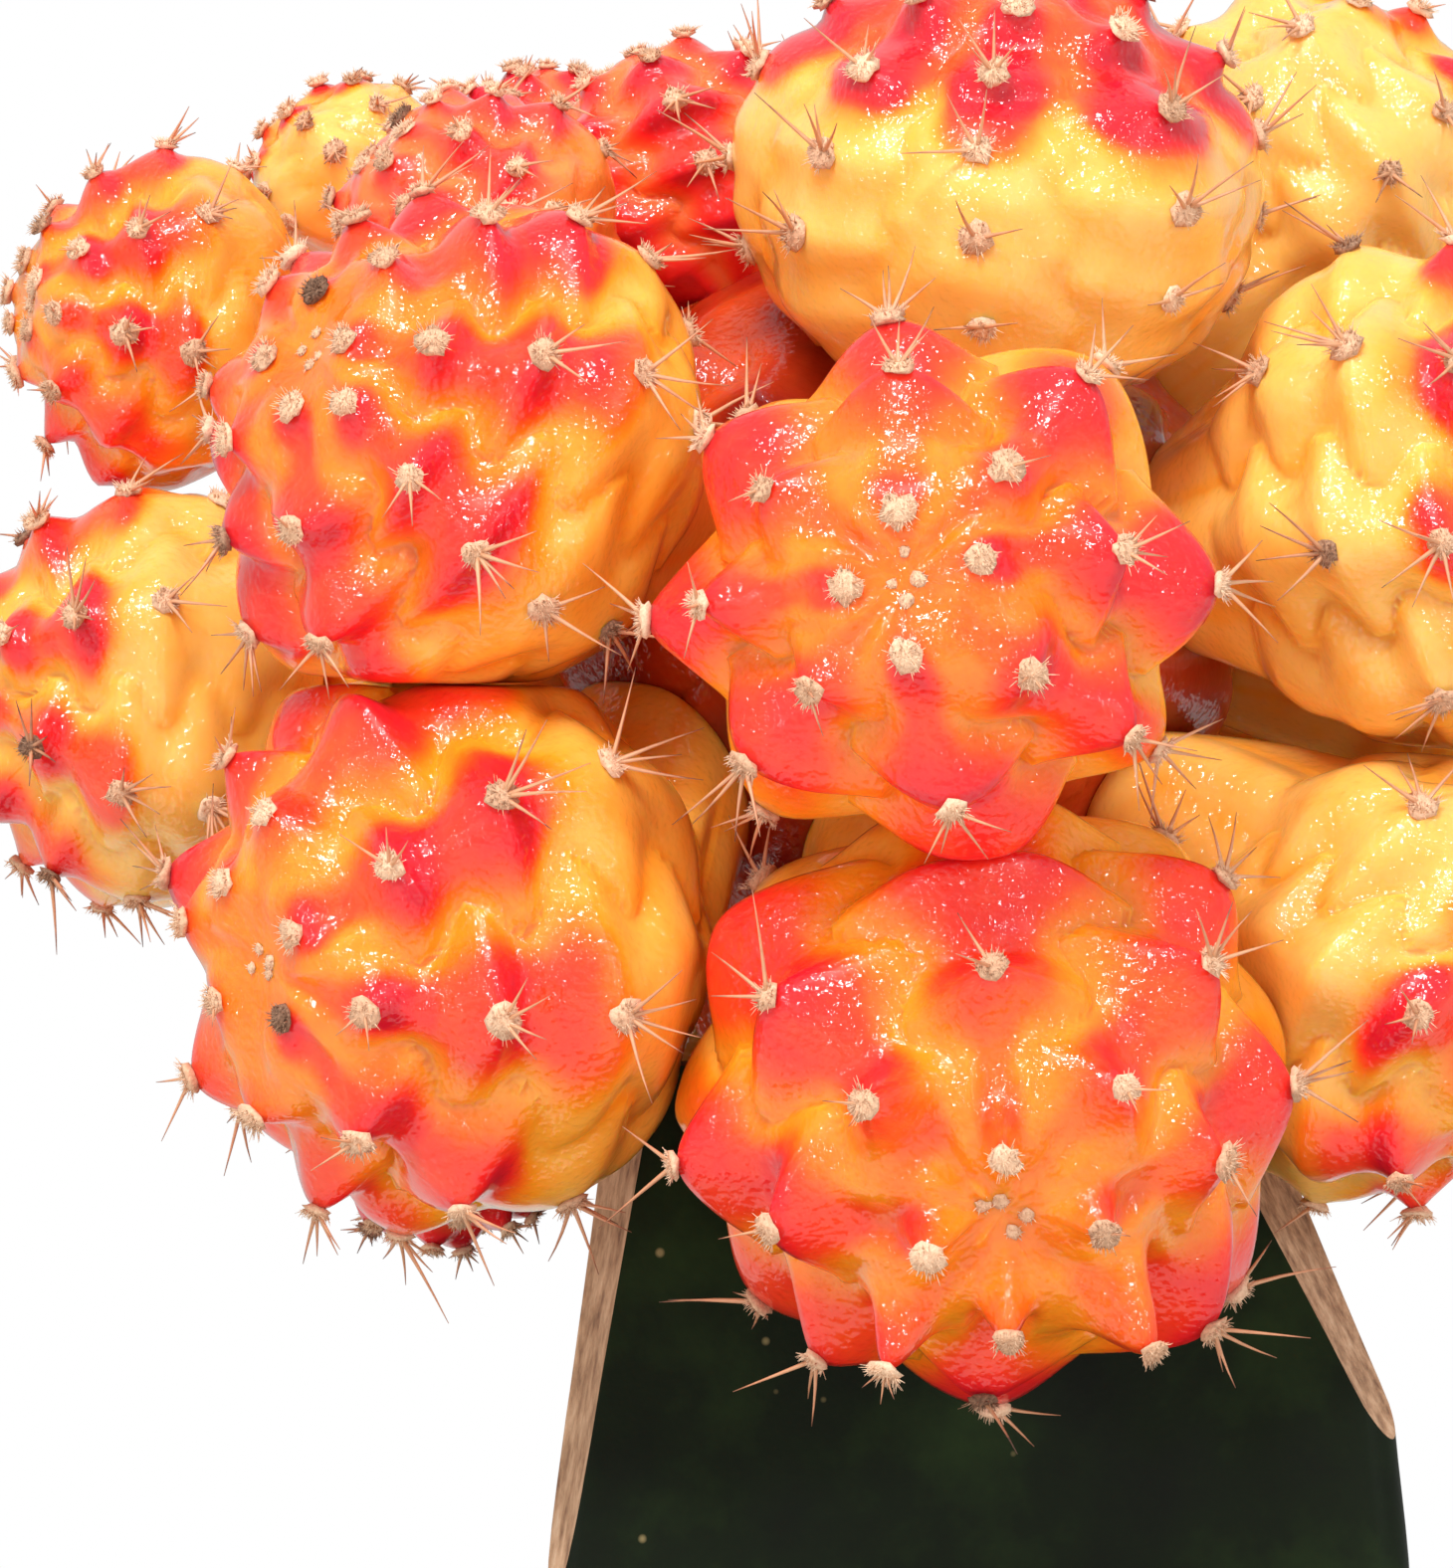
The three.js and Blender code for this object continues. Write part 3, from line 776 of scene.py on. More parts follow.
@dataclass
class Spines:
    """What grows from an areole: a pad of wool with loose fibres, and a fan of spines.

    The ranges are what the seeded draws lie between. Those of the wool are shares of the pad's
    radius, except the fibres' own radius, which is in millimetres as the spines' sizes are.
    """

    spine: bpy.types.Mesh = field(init=False)
    pad: bpy.types.Mesh = field(init=False)
    fibre: bpy.types.Mesh = field(init=False)
    sides: int = 5
    joints: int = 3
    knobs: tuple[float, float] = (0.66, 1.12)
    pad_height: float = 0.4
    pad_lift: float = 0.04
    pad_age: float = 0.1
    fibre_lean: tuple[float, float] = (0.1, 1.35)
    fibre_from: tuple[float, float] = (0.0, 0.85)
    fibre_lift: float = 0.2
    fibre_length: tuple[float, float] = (0.24, 0.6)
    fibre_radius: float = 0.034
    fibre_curl: tuple[float, float] = (-0.4, 0.4)
    fibre_age: tuple[float, float] = (-0.2, 0.1)
    spine_sunk: float = 0.25
    spine_wear: tuple[float, float] = (0.6, 1.0)

    def __post_init__(self) -> None:
        """Makes the three small meshes that are copied."""
        bm = bmesh.new()
        bmesh.ops.create_cone(
            bm, cap_ends=True, segments=self.sides, radius1=1, radius2=0.12, depth=1,
            matrix=Matrix.Translation((0, 0, 0.5)),
        )
        upright = [e for e in bm.edges if abs(e.verts[0].co.z - e.verts[1].co.z) > 0.5]
        bmesh.ops.subdivide_edges(bm, edges=upright, cuts=self.joints, use_grid_fill=True)
        self.spine = mesh_from(bm, "spine_template")
        bm = bmesh.new()
        bmesh.ops.create_icosphere(bm, subdivisions=2, radius=1)
        self.pad = mesh_from(bm, "wool_template")
        bm = bmesh.new()
        bmesh.ops.create_cone(
            bm, cap_ends=True, segments=3, radius1=1, radius2=0.3, depth=1,
            matrix=Matrix.Translation((0, 0, 0.5)),
        )
        self.fibre = mesh_from(bm, "fibre_template")

    @staticmethod
    def rod(
        shape: np.ndarray,
        root: np.ndarray,
        direction: np.ndarray,
        length: float,
        radius: float,
        bend: np.ndarray,
    ) -> np.ndarray:
        """Lays a thin upright shape along a bent line.

        Args:
            shape: the shape's vertices, upright from height 0 to 1.
            root: where the line starts.
            direction: where it sets out to.
            length: its length.
            radius: its thickness at the root, from the middle.
            bend: how far its tip is drawn aside, as a share of its length.

        Returns:
            The vertices' new places.
        """
        across, along = square_to(direction)
        height = shape[:, 2:3]
        line = root + direction * height * length + bend * length * height**2
        return line + (across * shape[:, 0:1] + along * shape[:, 1:2]) * radius

    def add(
        self,
        bm: bmesh.types.BMesh,
        areoles: Sequence["Areole"],
        draw: random.Random,
        wool: int,
        horn: int,
    ) -> int:
        """Adds the wool and spines of many areoles.

        Args:
            bm: the body that they grow from, in metres.
            areoles: the areoles.
            draw: the seeded draw.
            wool: the wool's material index.
            horn: the spines' material index.

        Returns:
            How many spines were added.
        """
        pads, pad_tones, fibres, fibre_tones, spines, spine_tones = [], [], [], [], [], []
        pad_shape = vertex_places(self.pad)
        fibre_shape = vertex_places(self.fibre)
        spine_shape = vertex_places(self.spine)
        for areole in areoles:
            across, along = square_to(areole.outward)
            knobs = np.array([draw.uniform(*self.knobs) for _ in pad_shape])[:, None]
            shape = pad_shape * knobs * areole.pad
            raised = shape[:, 2:3] * self.pad_height + areole.pad * self.pad_lift
            pads.append(
                areole.place + across * shape[:, 0:1] + along * shape[:, 1:2] + areole.outward * raised
            )
            pad_tones.append(np.full(len(shape), areole.age + self.pad_age))
            for _ in range(areole.fibres):
                spin = draw.uniform(0, TURN)
                lean = draw.uniform(*self.fibre_lean)
                sideways = across * math.cos(spin) + along * math.sin(spin)
                start = areole.place + sideways * areole.pad * draw.uniform(*self.fibre_from)
                start = start + areole.outward * areole.pad * self.fibre_lift
                direction = areole.outward * math.cos(lean) + sideways * math.sin(lean)
                length = areole.pad * draw.uniform(*self.fibre_length)
                curl = along * draw.uniform(*self.fibre_curl)
                fibres.append(self.rod(fibre_shape, start, direction, length, self.fibre_radius, curl))
                age = areole.age + draw.uniform(*self.fibre_age)
                fibre_tones.append(np.full(len(fibre_shape), age))
            for direction, length, bend in areole.spines:
                start = areole.place - direction * self.spine_sunk
                spines.append(self.rod(spine_shape, start, direction, length, areole.thickness, bend))
                worn = areole.age / 2 + spine_shape[:, 2] ** 2 * draw.uniform(*self.spine_wear)
                spine_tones.append(worn)
        for template, places, tones, material in (
            (self.pad, pads, pad_tones, wool),
            (self.fibre, fibres, fibre_tones, wool),
            (self.spine, spines, spine_tones, horn),
        ):
            if places:
                grow_copies(bm, template, np.array(places) * MM, np.array(tones), material)
        return len(spines)


@dataclass
class Areole:
    """One areole: its place and outward direction, its wool and its spines.

    The pad's radius and the spines' thickness are in millimetres, and age runs from 0 to 1. Each
    spine is its direction, its length and how far its tip is drawn aside.
    """

    place: np.ndarray
    outward: np.ndarray
    pad: float
    age: float
    fibres: int
    thickness: float = 0.15
    spines: list[tuple[np.ndarray, float, np.ndarray]] = field(default_factory=list)


# ---------------------------------------------------------------- pot and soil


@dataclass
class ClayPot:
    """A plain thrown clay pot with a rim band and three drain holes. Sizes are in millimetres."""

    height: float = 66
    foot_radius: float = 29
    band_radius: float = 38.5
    band_height: float = 17
    rim_radius: float = 42
    wall: float = 4.2
    floor: float = 5
    band_taper: float = 1.4
    cove: float = 3
    edge: float = 1.1
    drain_radius: float = 3.5
    drain_circle: float = 17
    drains: int = 3
    steps: int = 112

    def outside(self, height: float) -> float:
        """The radius of the outer wall at a height under the rim band."""
        share = height / (self.height - self.band_height)
        return self.foot_radius + (self.band_radius - self.foot_radius) * share

    def inside(self, height: float) -> float:
        """The radius of the inner wall at a height."""
        return self.outside(height) - self.wall

    def profile(self) -> list[tuple[float, float]]:
        """Works out the corners of the pot's section.

        Returns:
            Radii and heights, from the middle of its foot to that of its floor.
        """
        band_foot = self.height - self.band_height
        return [
            (0, 0),
            (self.foot_radius, 0),
            (self.band_radius, band_foot),
            (self.rim_radius - self.band_taper, band_foot),
            (self.rim_radius, self.height),
            (self.inside(self.height), self.height),
            (self.inside(self.floor), self.floor),
            (0, self.floor),
        ]

    def turn(self) -> bmesh.types.BMesh:
        """Turns the section round the pot's axis and rounds its corners.

        Returns:
            The pot without its drain holes, in millimetres.
        """
        bm = bmesh.new()
        corners = [bm.verts.new((radius, 0, height)) for radius, height in self.profile()]
        for first, second in zip(corners, corners[1:]):
            bm.edges.new((first, second))
        bmesh.ops.spin(
            bm, geom=bm.verts[:] + bm.edges[:], cent=(0, 0, 0), axis=(0, 0, 1), angle=TURN,
            steps=self.steps, use_merge=True,
        )
        bmesh.ops.remove_doubles(bm, verts=bm.verts, dist=0.01)
        bmesh.ops.recalc_face_normals(bm, faces=bm.faces)
        rounded = [e for e in bm.edges if len(e.link_faces) == 2 and e.calc_face_angle() > 0.35]
        bmesh.ops.bevel(
            bm, geom=rounded, offset=self.edge, segments=4, profile=0.5, affect="EDGES", material=-1
        )
        return bm

    def build(self, clay: bpy.types.Material) -> bpy.types.Object:
        """Makes the pot, drills its drain holes and puts it in the scene.

        Args:
            clay: its material.

        Returns:
            The pot.
        """
        bm = self.turn()
        bmesh.ops.scale(bm, vec=(MM, MM, MM), verts=bm.verts)
        pot = show(mesh_from(bm, "clay_pot"), "clay_pot", [clay])
        cutter = self.drill()
        boolean = pot.modifiers.new("drain_holes", "BOOLEAN")
        boolean.operation = "DIFFERENCE"
        boolean.solver = "EXACT"
        boolean.object = cutter
        bpy.context.view_layer.update()
        drilled = bpy.data.meshes.new_from_object(
            pot.evaluated_get(bpy.context.evaluated_depsgraph_get())
        )
        pot.modifiers.clear()
        pot.data = drilled
        bpy.data.objects.remove(cutter)
        drilled.shade_smooth()
        drilled.set_sharp_from_angle(angle=math.radians(40))
        return pot

    def drill(self) -> bpy.types.Object:
        """Makes the upright bars that cut the drain holes.

        Returns:
            The bars as one object, which is removed once the pot is drilled.
        """
        bm = bmesh.new()
        for hole in range(self.drains):
            angle = hole / self.drains * TURN + TURN / 4
            at = Vector((math.cos(angle), math.sin(angle), 0)) * self.drain_circle
            at.z = self.floor / 2
            bmesh.ops.create_cone(
                bm, cap_ends=True, segments=40, radius1=self.drain_radius, radius2=self.drain_radius,
                depth=3 * self.floor, matrix=Matrix.Translation(at),
            )
        bmesh.ops.scale(bm, vec=(MM, MM, MM), verts=bm.verts)
        return show(mesh_from(bm, "drain_drill"), "drain_drill", [])


@dataclass
class PottingMix:
    """Damp peat with crumbs of bark and perlite, filled into the pot and mounded at the stem.

    Sizes are in millimetres, and the crumbs' own are their radii.
    """

    pot: ClayPot
    top: float = 57
    gap: float = 0.2
    foot_gap: float = 0.3
    mound: float = 1.6
    mound_from: float = 18
    mound_to: float = 34
    grain: float = 0.9
    broad_wave: float = 27
    lump: float = 0.55
    lump_size: float = 3.1
    crumb_size: float = 1.1
    edge_drop: float = 1.5
    edge_width: float = 3
    steps: int = 180
    rings: int = 64
    crumbs: int = 420
    crumb_sizes: tuple[float, float] = (0.4, 1.1)
    chip_sizes: tuple[float, float] = (0.7, 1.9)
    crumb_form: tuple[float, float, float] = (1.0, 0.85, 0.75)
    chip_form: tuple[float, float, float] = (1.0, 0.55, 0.3)
    seed: int = 41

    def height_at(self, x: float, y: float) -> float:
        """Works out the height of the soil's surface at a place.

        Args:
            x: how far the place lies to the right of the pot's axis.
            y: how far it lies behind it.

        Returns:
            The height.
        """
        far = np.hypot(x, y)
        rise = self.mound * (1 - float(smooth_step(self.mound_from, self.mound_to, far)))
        right, back = x * TURN / self.broad_wave, y * TURN / self.broad_wave
        broad = math.sin(right + 1.3) * math.cos(back - 0.4)
        fine = noise.noise(Vector((x / self.lump_size, y / self.lump_size, 2.5)))
        small = noise.noise(Vector((x / self.crumb_size, y / self.crumb_size, 7.5)))
        wall = self.pot.inside(self.top)
        drop = self.edge_drop * float(smooth_step(wall - self.edge_width, wall, far))
        return self.top + rise + self.grain * broad / 2 + self.lump * (fine + small * 0.6) - drop

    def build(self, materials: Sequence[bpy.types.Material]) -> bpy.types.Object:
        """Makes the filling by spinning its section, then scatters crumbs over its top.

        Args:
            materials: the peat, the bark and the perlite.

        Returns:
            The filling.
        """
        bottom = self.pot.floor + self.gap
        low = self.pot.inside(self.pot.floor) - self.foot_gap
        side = self.pot.inside(self.top) - self.gap
        bm = bmesh.new()
        section = [(0.0, bottom), (low - self.pot.cove, bottom), (low, bottom + self.pot.cove)]
        section += [(side, self.top - self.edge_drop)]
        section += [(side * (1 - ring / self.rings), self.top) for ring in range(1, self.rings + 1)]
        line = [bm.verts.new((radius, 0, height)) for radius, height in section]
        for first, second in zip(line, line[1:]):
            bm.edges.new((first, second))
        bmesh.ops.spin(
            bm, geom=bm.verts[:] + bm.edges[:], cent=(0, 0, 0), axis=(0, 0, 1), angle=TURN,
            steps=self.steps, use_merge=True,
        )
        bmesh.ops.remove_doubles(bm, verts=bm.verts, dist=0.01)
        bmesh.ops.recalc_face_normals(bm, faces=bm.faces)
        for vert in bm.verts:
            if vert.co.z > self.top - 0.1:
                vert.co.z = self.height_at(vert.co.x, vert.co.y)
        for face in bm.faces:
            face.smooth = True
        bmesh.ops.scale(bm, vec=(MM, MM, MM), verts=bm.verts)
        bm = settled(bm)
        self.scatter(bm)
        return show(mesh_from(bm, "potting_mix"), "potting_mix", materials)

    def scatter(self, bm: bmesh.types.BMesh) -> None:
        """Drops peat crumbs, bark chips and perlite on the soil.

        Args:
            bm: the soil, in metres.
        """
        draw = random.Random(self.seed)
        peat, bark, perlite = 0, 1, 2
        shape_bm = bmesh.new()
        bmesh.ops.create_icosphere(shape_bm, subdivisions=1, radius=1)
        template = mesh_from(shape_bm, "crumb_template")
        shape = vertex_places(template)
        groups: dict[int, list[np.ndarray]] = {peat: [], bark: [], perlite: []}
        tones: dict[int, list[np.ndarray]] = {peat: [], bark: [], perlite: []}
        while sum(len(group) for group in groups.values()) < self.crumbs:
            far = math.sqrt(draw.random()) * (self.pot.inside(self.top) - 1.5)
            angle = draw.uniform(0, TURN)
            x, y = far * math.cos(angle), far * math.sin(angle)
            kind = draw.choices([peat, bark, perlite], weights=[5, 4, 2])[0]
            size = draw.uniform(*(self.chip_sizes if kind == bark else self.crumb_sizes))
            form = self.chip_form if kind == bark else self.crumb_form
            rough = np.array([[draw.uniform(0.75, 1.25)] for _ in shape])
            turned = Matrix.Rotation(draw.uniform(0, TURN), 3, "Z")
            tilted = Matrix.Rotation(draw.gauss(0, 0.35), 3, "X")
            placed = (shape * rough * size * np.array(form)) @ np.array(turned @ tilted).T
            placed += np.array([x, y, self.height_at(x, y) + size * form[2] * 0.35])
            groups[kind].append(placed * MM)
            tones[kind].append(np.full(len(shape), draw.uniform(0.0, 0.3)))
        for kind, places in groups.items():
            grow_copies(bm, template, np.array(places), np.array(tones[kind]), kind)


# ---------------------------------------------------------------- stem


@dataclass
class Rootstock:
    """The three-sided stem that carries the graft, its ribs cut down to cork at the top.

    Sizes are in millimetres. Each cut is its rib's direction in degrees, the height where it
    starts and its lean from upright in degrees.
    """

    foot: float = 26
    top: float = 113.5
    rib_reach: float = 23
    rib_rounding: float = 1.6
    hollow: float = 3.4
    swell: float = 0.5
    swell_from: float = 15
    soil_top: float = 57
    wobble: float = 0.12
    wobble_size: tuple[float, float, float] = (7, 7, 9)
    areole_spacing: float = 25
    areoles: tuple[float, ...] = (64, 89)
    cuts: tuple[tuple[float, float, float], ...] = ((210, 92.5, 10.2), (330, 96.5, 28), (90, 97, 26))
    columns: int = 144
    levels: int = 60
    scar_lip: float = 0.5
    scar_depth: float = 0.12
    thorn_leans: tuple[float, ...] = (-0.75, 0.0, 0.75)
    thorn_rise: tuple[float, float] = (-0.2, 0.6)
    thorn_length: tuple[float, float] = (1.8, 2.6)
    seed: int = 5

    @property
    def rib_tip(self) -> float:
        """How far the middle of a rib's rounding lies from the stem's axis."""
        return self.rib_reach - self.rib_rounding

    def outline(self, share: float) -> tuple[float, float]:
        """Finds a point of the stem's section: a round rib, then a hollow side, three times.

        Args:
            share: the share of the way round from the first rib.

        Returns:
            The point.
        """
        third = TURN / 3
        side, along = divmod(share * 3, 1)
        rib = TURN / 4 + third * side
        corner = self.rib_reach - 2 * self.rib_rounding
        on_rib = 0.16

        def at(angle: float, radius: float) -> Vector:
            """The point in a direction, at a distance from the middle."""
            return Vector((math.cos(angle), math.sin(angle))) * radius

        if along < on_rib or along > 1 - on_rib:
            turned = along / on_rib / 2 if along < on_rib else (along - 1) / on_rib / 2
            base = rib if along < on_rib else rib + third
            point = at(base, corner) + at(base + turned * third, self.rib_rounding)
            return point.x, point.y
        step = (along - on_rib) / (1 - 2 * on_rib)
        middle = rib + third / 2
        start = at(rib, corner) + at(middle, self.rib_rounding)
        end = at(rib + third, corner) + at(middle, self.rib_rounding)
        inward = at(middle, corner / 2 + self.rib_rounding - 2 * self.hollow)
        point = start * (1 - step) ** 2 + inward * 2 * step * (1 - step) + end * step**2
        return point.x, point.y

    def bar(self) -> bmesh.types.BMesh:
        """Draws the section and raises it in levels, with swellings at the areoles.

        Returns:
            The uncut stem, in millimetres.
        """
        bm = bmesh.new()
        bmesh.ops.create_circle(bm, cap_ends=True, radius=1, segments=self.columns)
        bm.verts.ensure_lookup_table()
        for index, vert in enumerate(bm.verts):
            vert.co.x, vert.co.y = self.outline(index / self.columns)
            vert.co.z = self.foot
        face = bm.faces[:][0]
        rise = (self.top - self.foot) / self.levels
        for level in range(self.levels):
            raised = bmesh.ops.extrude_face_region(bm, geom=[face])
            if level:
                bmesh.ops.delete(bm, geom=[face], context="FACES_ONLY")
            face = next(part for part in raised["geom"] if isinstance(part, bmesh.types.BMFace))
            verts = [part for part in raised["geom"] if isinstance(part, bmesh.types.BMVert)]
            bmesh.ops.translate(bm, vec=(0, 0, rise), verts=verts)
        bmesh.ops.recalc_face_normals(bm, faces=bm.faces)
        long, deep, tall = self.wobble_size
        for vert in bm.verts:
            x, y, z = vert.co
            reach = math.hypot(x, y)
            wave = math.cos((z - self.areoles[0]) / self.areole_spacing * TURN)
            share = float(smooth_step(self.swell_from, self.rib_tip, reach))
            share *= float(smooth_step(self.soil_top, self.areoles[0], z))
            wobble = self.wobble * noise.noise(Vector((x / long, y / deep, z / tall)))
            grown = 1 + (self.swell * wave * share + wobble) / reach
            vert.co.x, vert.co.y = x * grown, y * grown
        return bm

    def build(self, materials: Sequence[bpy.types.Material], spines: Spines) -> bpy.types.Object:
        """Makes the stem, cuts its shoulders and grows its small thorns.

        Args:
            materials: its skin, its cork, the wool and the spines' horn.
            spines: what grows the areoles.

        Returns:
            The stem.
        """
        bm = self.bar()
        for face in bm.faces:
            face.smooth = True
        for degrees, start, slope in self.cuts:
            self.cut_shoulder(bm, math.radians(degrees), start, math.radians(slope))
        bmesh.ops.scale(bm, vec=(MM, MM, MM), verts=bm.verts)
        bm = settled(bm)
        spines.add(bm, self.thorns(), random.Random(self.seed), wool=2, horn=3)
        mesh = mesh_from(bm, "grafting_stock")
        mesh.set_sharp_from_angle(angle=math.radians(35))
        return show(mesh, "grafting_stock", materials)

    def cut_shoulder(self, bm: bmesh.types.BMesh, rib: float, start: float, slope: float) -> None:
        """Slices a rib off, closes the cut and sinks the dried pith inside its lip.

        Args:
            bm: the stem.
            rib: the rib's direction.
            start: the height where the cut starts.
            slope: the cut's lean from upright.
        """
        outward = Vector((math.cos(rib), math.sin(rib), 0))
        at = outward * self.rib_tip + Vector((0, 0, start))
        normal = outward * math.cos(slope) + Vector((0, 0, math.sin(slope)))
        cut = bmesh.ops.bisect_plane(
            bm, geom=bm.verts[:] + bm.edges[:] + bm.faces[:], dist=1e-5, plane_co=at, plane_no=normal,
            clear_outer=True,
        )
        rim = [part for part in cut["geom_cut"] if isinstance(part, bmesh.types.BMEdge)]
        filled = bmesh.ops.holes_fill(bm, edges=rim)
        scar = filled["faces"]
        for face in scar:
            face.material_index = 1
            face.smooth = False
        bmesh.ops.inset_region(
            bm, faces=scar, thickness=self.scar_lip, depth=-self.scar_depth, use_even_offset=True
        )

    def thorns(self) -> list[Areole]:
        """Places the small areoles on the ribs, under the cuts.

        Returns:
            The areoles, with their thorns.
        """
        draw = random.Random(self.seed)
        areoles = []
        for degrees, _, _ in self.cuts:
            rib = math.radians(degrees)
            for height in self.areoles:
                outward = np.array([math.cos(rib), math.sin(rib), 0.0])
                across = np.array([-math.sin(rib), math.cos(rib), 0.0])
                place = outward * (self.rib_tip + self.swell - 0.1) + np.array([0, 0, height])
                areole = Areole(place, outward, pad=0.8, age=0.55, fibres=10, thickness=0.2)
                for lean in self.thorn_leans:
                    rise = np.array([0, 0, draw.uniform(*self.thorn_rise)])
                    direction = unit(outward + across * lean + rise)
                    areole.spines.append((direction, draw.uniform(*self.thorn_length), np.zeros(3)))
                areoles.append(areole)
        return areoles


# ---------------------------------------------------------------- heads


@dataclass(frozen=True)
class RibForm:
    """The form that the ribs of all heads share.

    A range is where something sets in and where it is full: in degrees from the head's tip, from
    the edge of the blush where its name says edge, or across a rib, which runs from 0 on its
    crest to 1 in its furrow. Widths along a rib are in areole spacings, and heights are shares of
    the head's radius. The lucks are what the seeded draws lie between, and the phases spread how
    late the ribs start.
    """

    crest_softness: float = 0.4
    crest_round: float = 0.26
    crest_drop: float = 0.45
    valley_power: float = 1.25
    sharp_between: float = 0.1
    sharp_at_areole: float = 0.75
    sharp_width: float = 0.22
    sharp_range: tuple[float, float] = (22, 52)
    furrow_range: tuple[float, float] = (12, 52)
    low_range: tuple[float, float] = (100, 150)
    low_loss: float = 0.5
    plain_edge: tuple[float, float] = (-25, 15)
    notch_deepest: float = 0.36
    notch_cusp: float = 1.8
    notch_cusp_share: float = 0.45
    notch_range: tuple[float, float] = (2, 38)
    notch_low_range: tuple[float, float] = (75, 115)
    notch_low_loss: float = 0.45
    notch_across: tuple[float, float] = (0.1, 0.95)
    notch_across_range: tuple[float, float] = (3, 14)
    bud_range: tuple[float, float] = (3, 9)
    bud_fades: tuple[float, float] = (26, 46)
    bud_width: float = 0.16
    bud_across: float = 0.42
    knob: float = 0.024
    knob_width: float = 0.13
    knob_across: float = 0.28
    hollow_width: float = 15
    band_edge: tuple[float, float] = (-20, 5)
    knob_luck: tuple[float, float] = (0.4, 1.6)
    chin_luck: tuple[float, float] = (0.6, 1.35)
    red_luck: tuple[float, float] = (-0.08, 0.08)
    most_steps: int = 12
    side_share: float = 0.8
    rib_phase: float = 2.4
    turn_phase: float = 7


@dataclass(frozen=True)
class Blush:
    """How red the skin of all heads grows, in tones from 0, pale, to 1, with RibForm's ranges; the arc
    under each areole is partly painted shade.
    """

    ground: float = 0.17
    on_crest: float = 0.18
    on_outer_crest: float = 0.26
    outer_range: tuple[float, float] = (12, 60)
    crest_start: float = 0.1
    crest_start_outer: float = 0.2
    crest_end: float = 0.75
    crest_end_outer: float = 0.17
    tip_crest: float = 0.35
    tip_range: tuple[float, float] = (9, 26)
    # The arc just base-ward of each areole is deeper red: partly the skin's own colour, partly painted
    # shade of the hollow under it.
    red_and_shade_arc: float = 0.36
    red_and_shade_arc_luck: float = 1.2
    red_and_shade_arc_below: float = 0.1
    red_and_shade_arc_lean: float = 0.1
    red_and_shade_arc_width: float = 0.16
    red_and_shade_arc_across: tuple[float, float] = (0.3, 0.9)
    red_and_shade_arc_range: tuple[float, float] = (7, 15)
    edge_lower_on_crest: float = 9
    edge_higher_in_furrow: float = 5
    edge_across: tuple[float, float] = (0.6, 1)
    edge_range: tuple[float, float] = (-10, 8)
    furrow_tone: float = 0.1
    furrow_across: tuple[float, float] = (0.7, 1.0)


@dataclass(frozen=True)
class AreoleHabit:
    """How areoles and spines grow on all heads, with sizes in millimetres and leans in radians.

    Areoles grow up between the tip and the outer ribs. A pair holds what a seeded draw lies
    between, or what a young areole has and what age adds. The reaches are shares of another
    head's radius, within which a pad or a spine's tip counts as buried.
    """

    clear: float = 0.9
    pad_reach: float = 0.9
    tip_reach: float = 0.97
    grown_range: tuple[float, float] = (10, 75)
    usual_radius: float = 12
    pad: tuple[float, float] = (0.68, 0.86)
    age: float = 0.3
    old_age: float = 0.45
    fibres: int = 110
    thickness: tuple[float, float] = (0.1, 0.035)
    upright: float = 0.7
    young: float = 0.2
    half_grown: float = 0.6
    young_counts: tuple[int, ...] = (0, 0, 1)
    half_grown_counts: tuple[int, ...] = (1, 2, 2, 3)
    grown_counts: tuple[int, ...] = (3, 4, 4, 5)
    first_stray: float = 0.3
    stray: tuple[float, float] = (-0.25, 0.25)
    lean: tuple[float, float] = (0.6, 1.2)
    length: tuple[float, float] = (0.2, 0.36)
    young_length: float = 0.35
    bend_out: tuple[float, float] = (-0.12, 0.16)
    bend_aside: tuple[float, float] = (-0.1, 0.1)
    tip_pads: int = 4
    tip_stray: tuple[float, float] = (-0.3, 0.3)
    tip_range: tuple[float, float] = (1.5, 6.0)
    tip_pad: tuple[float, float] = (0.24, 0.42)
    tip_age: float = 0.15
    tip_fibres: int = 26


RIBS = RibForm()
BLUSH = Blush()
HABIT = AreoleHabit()


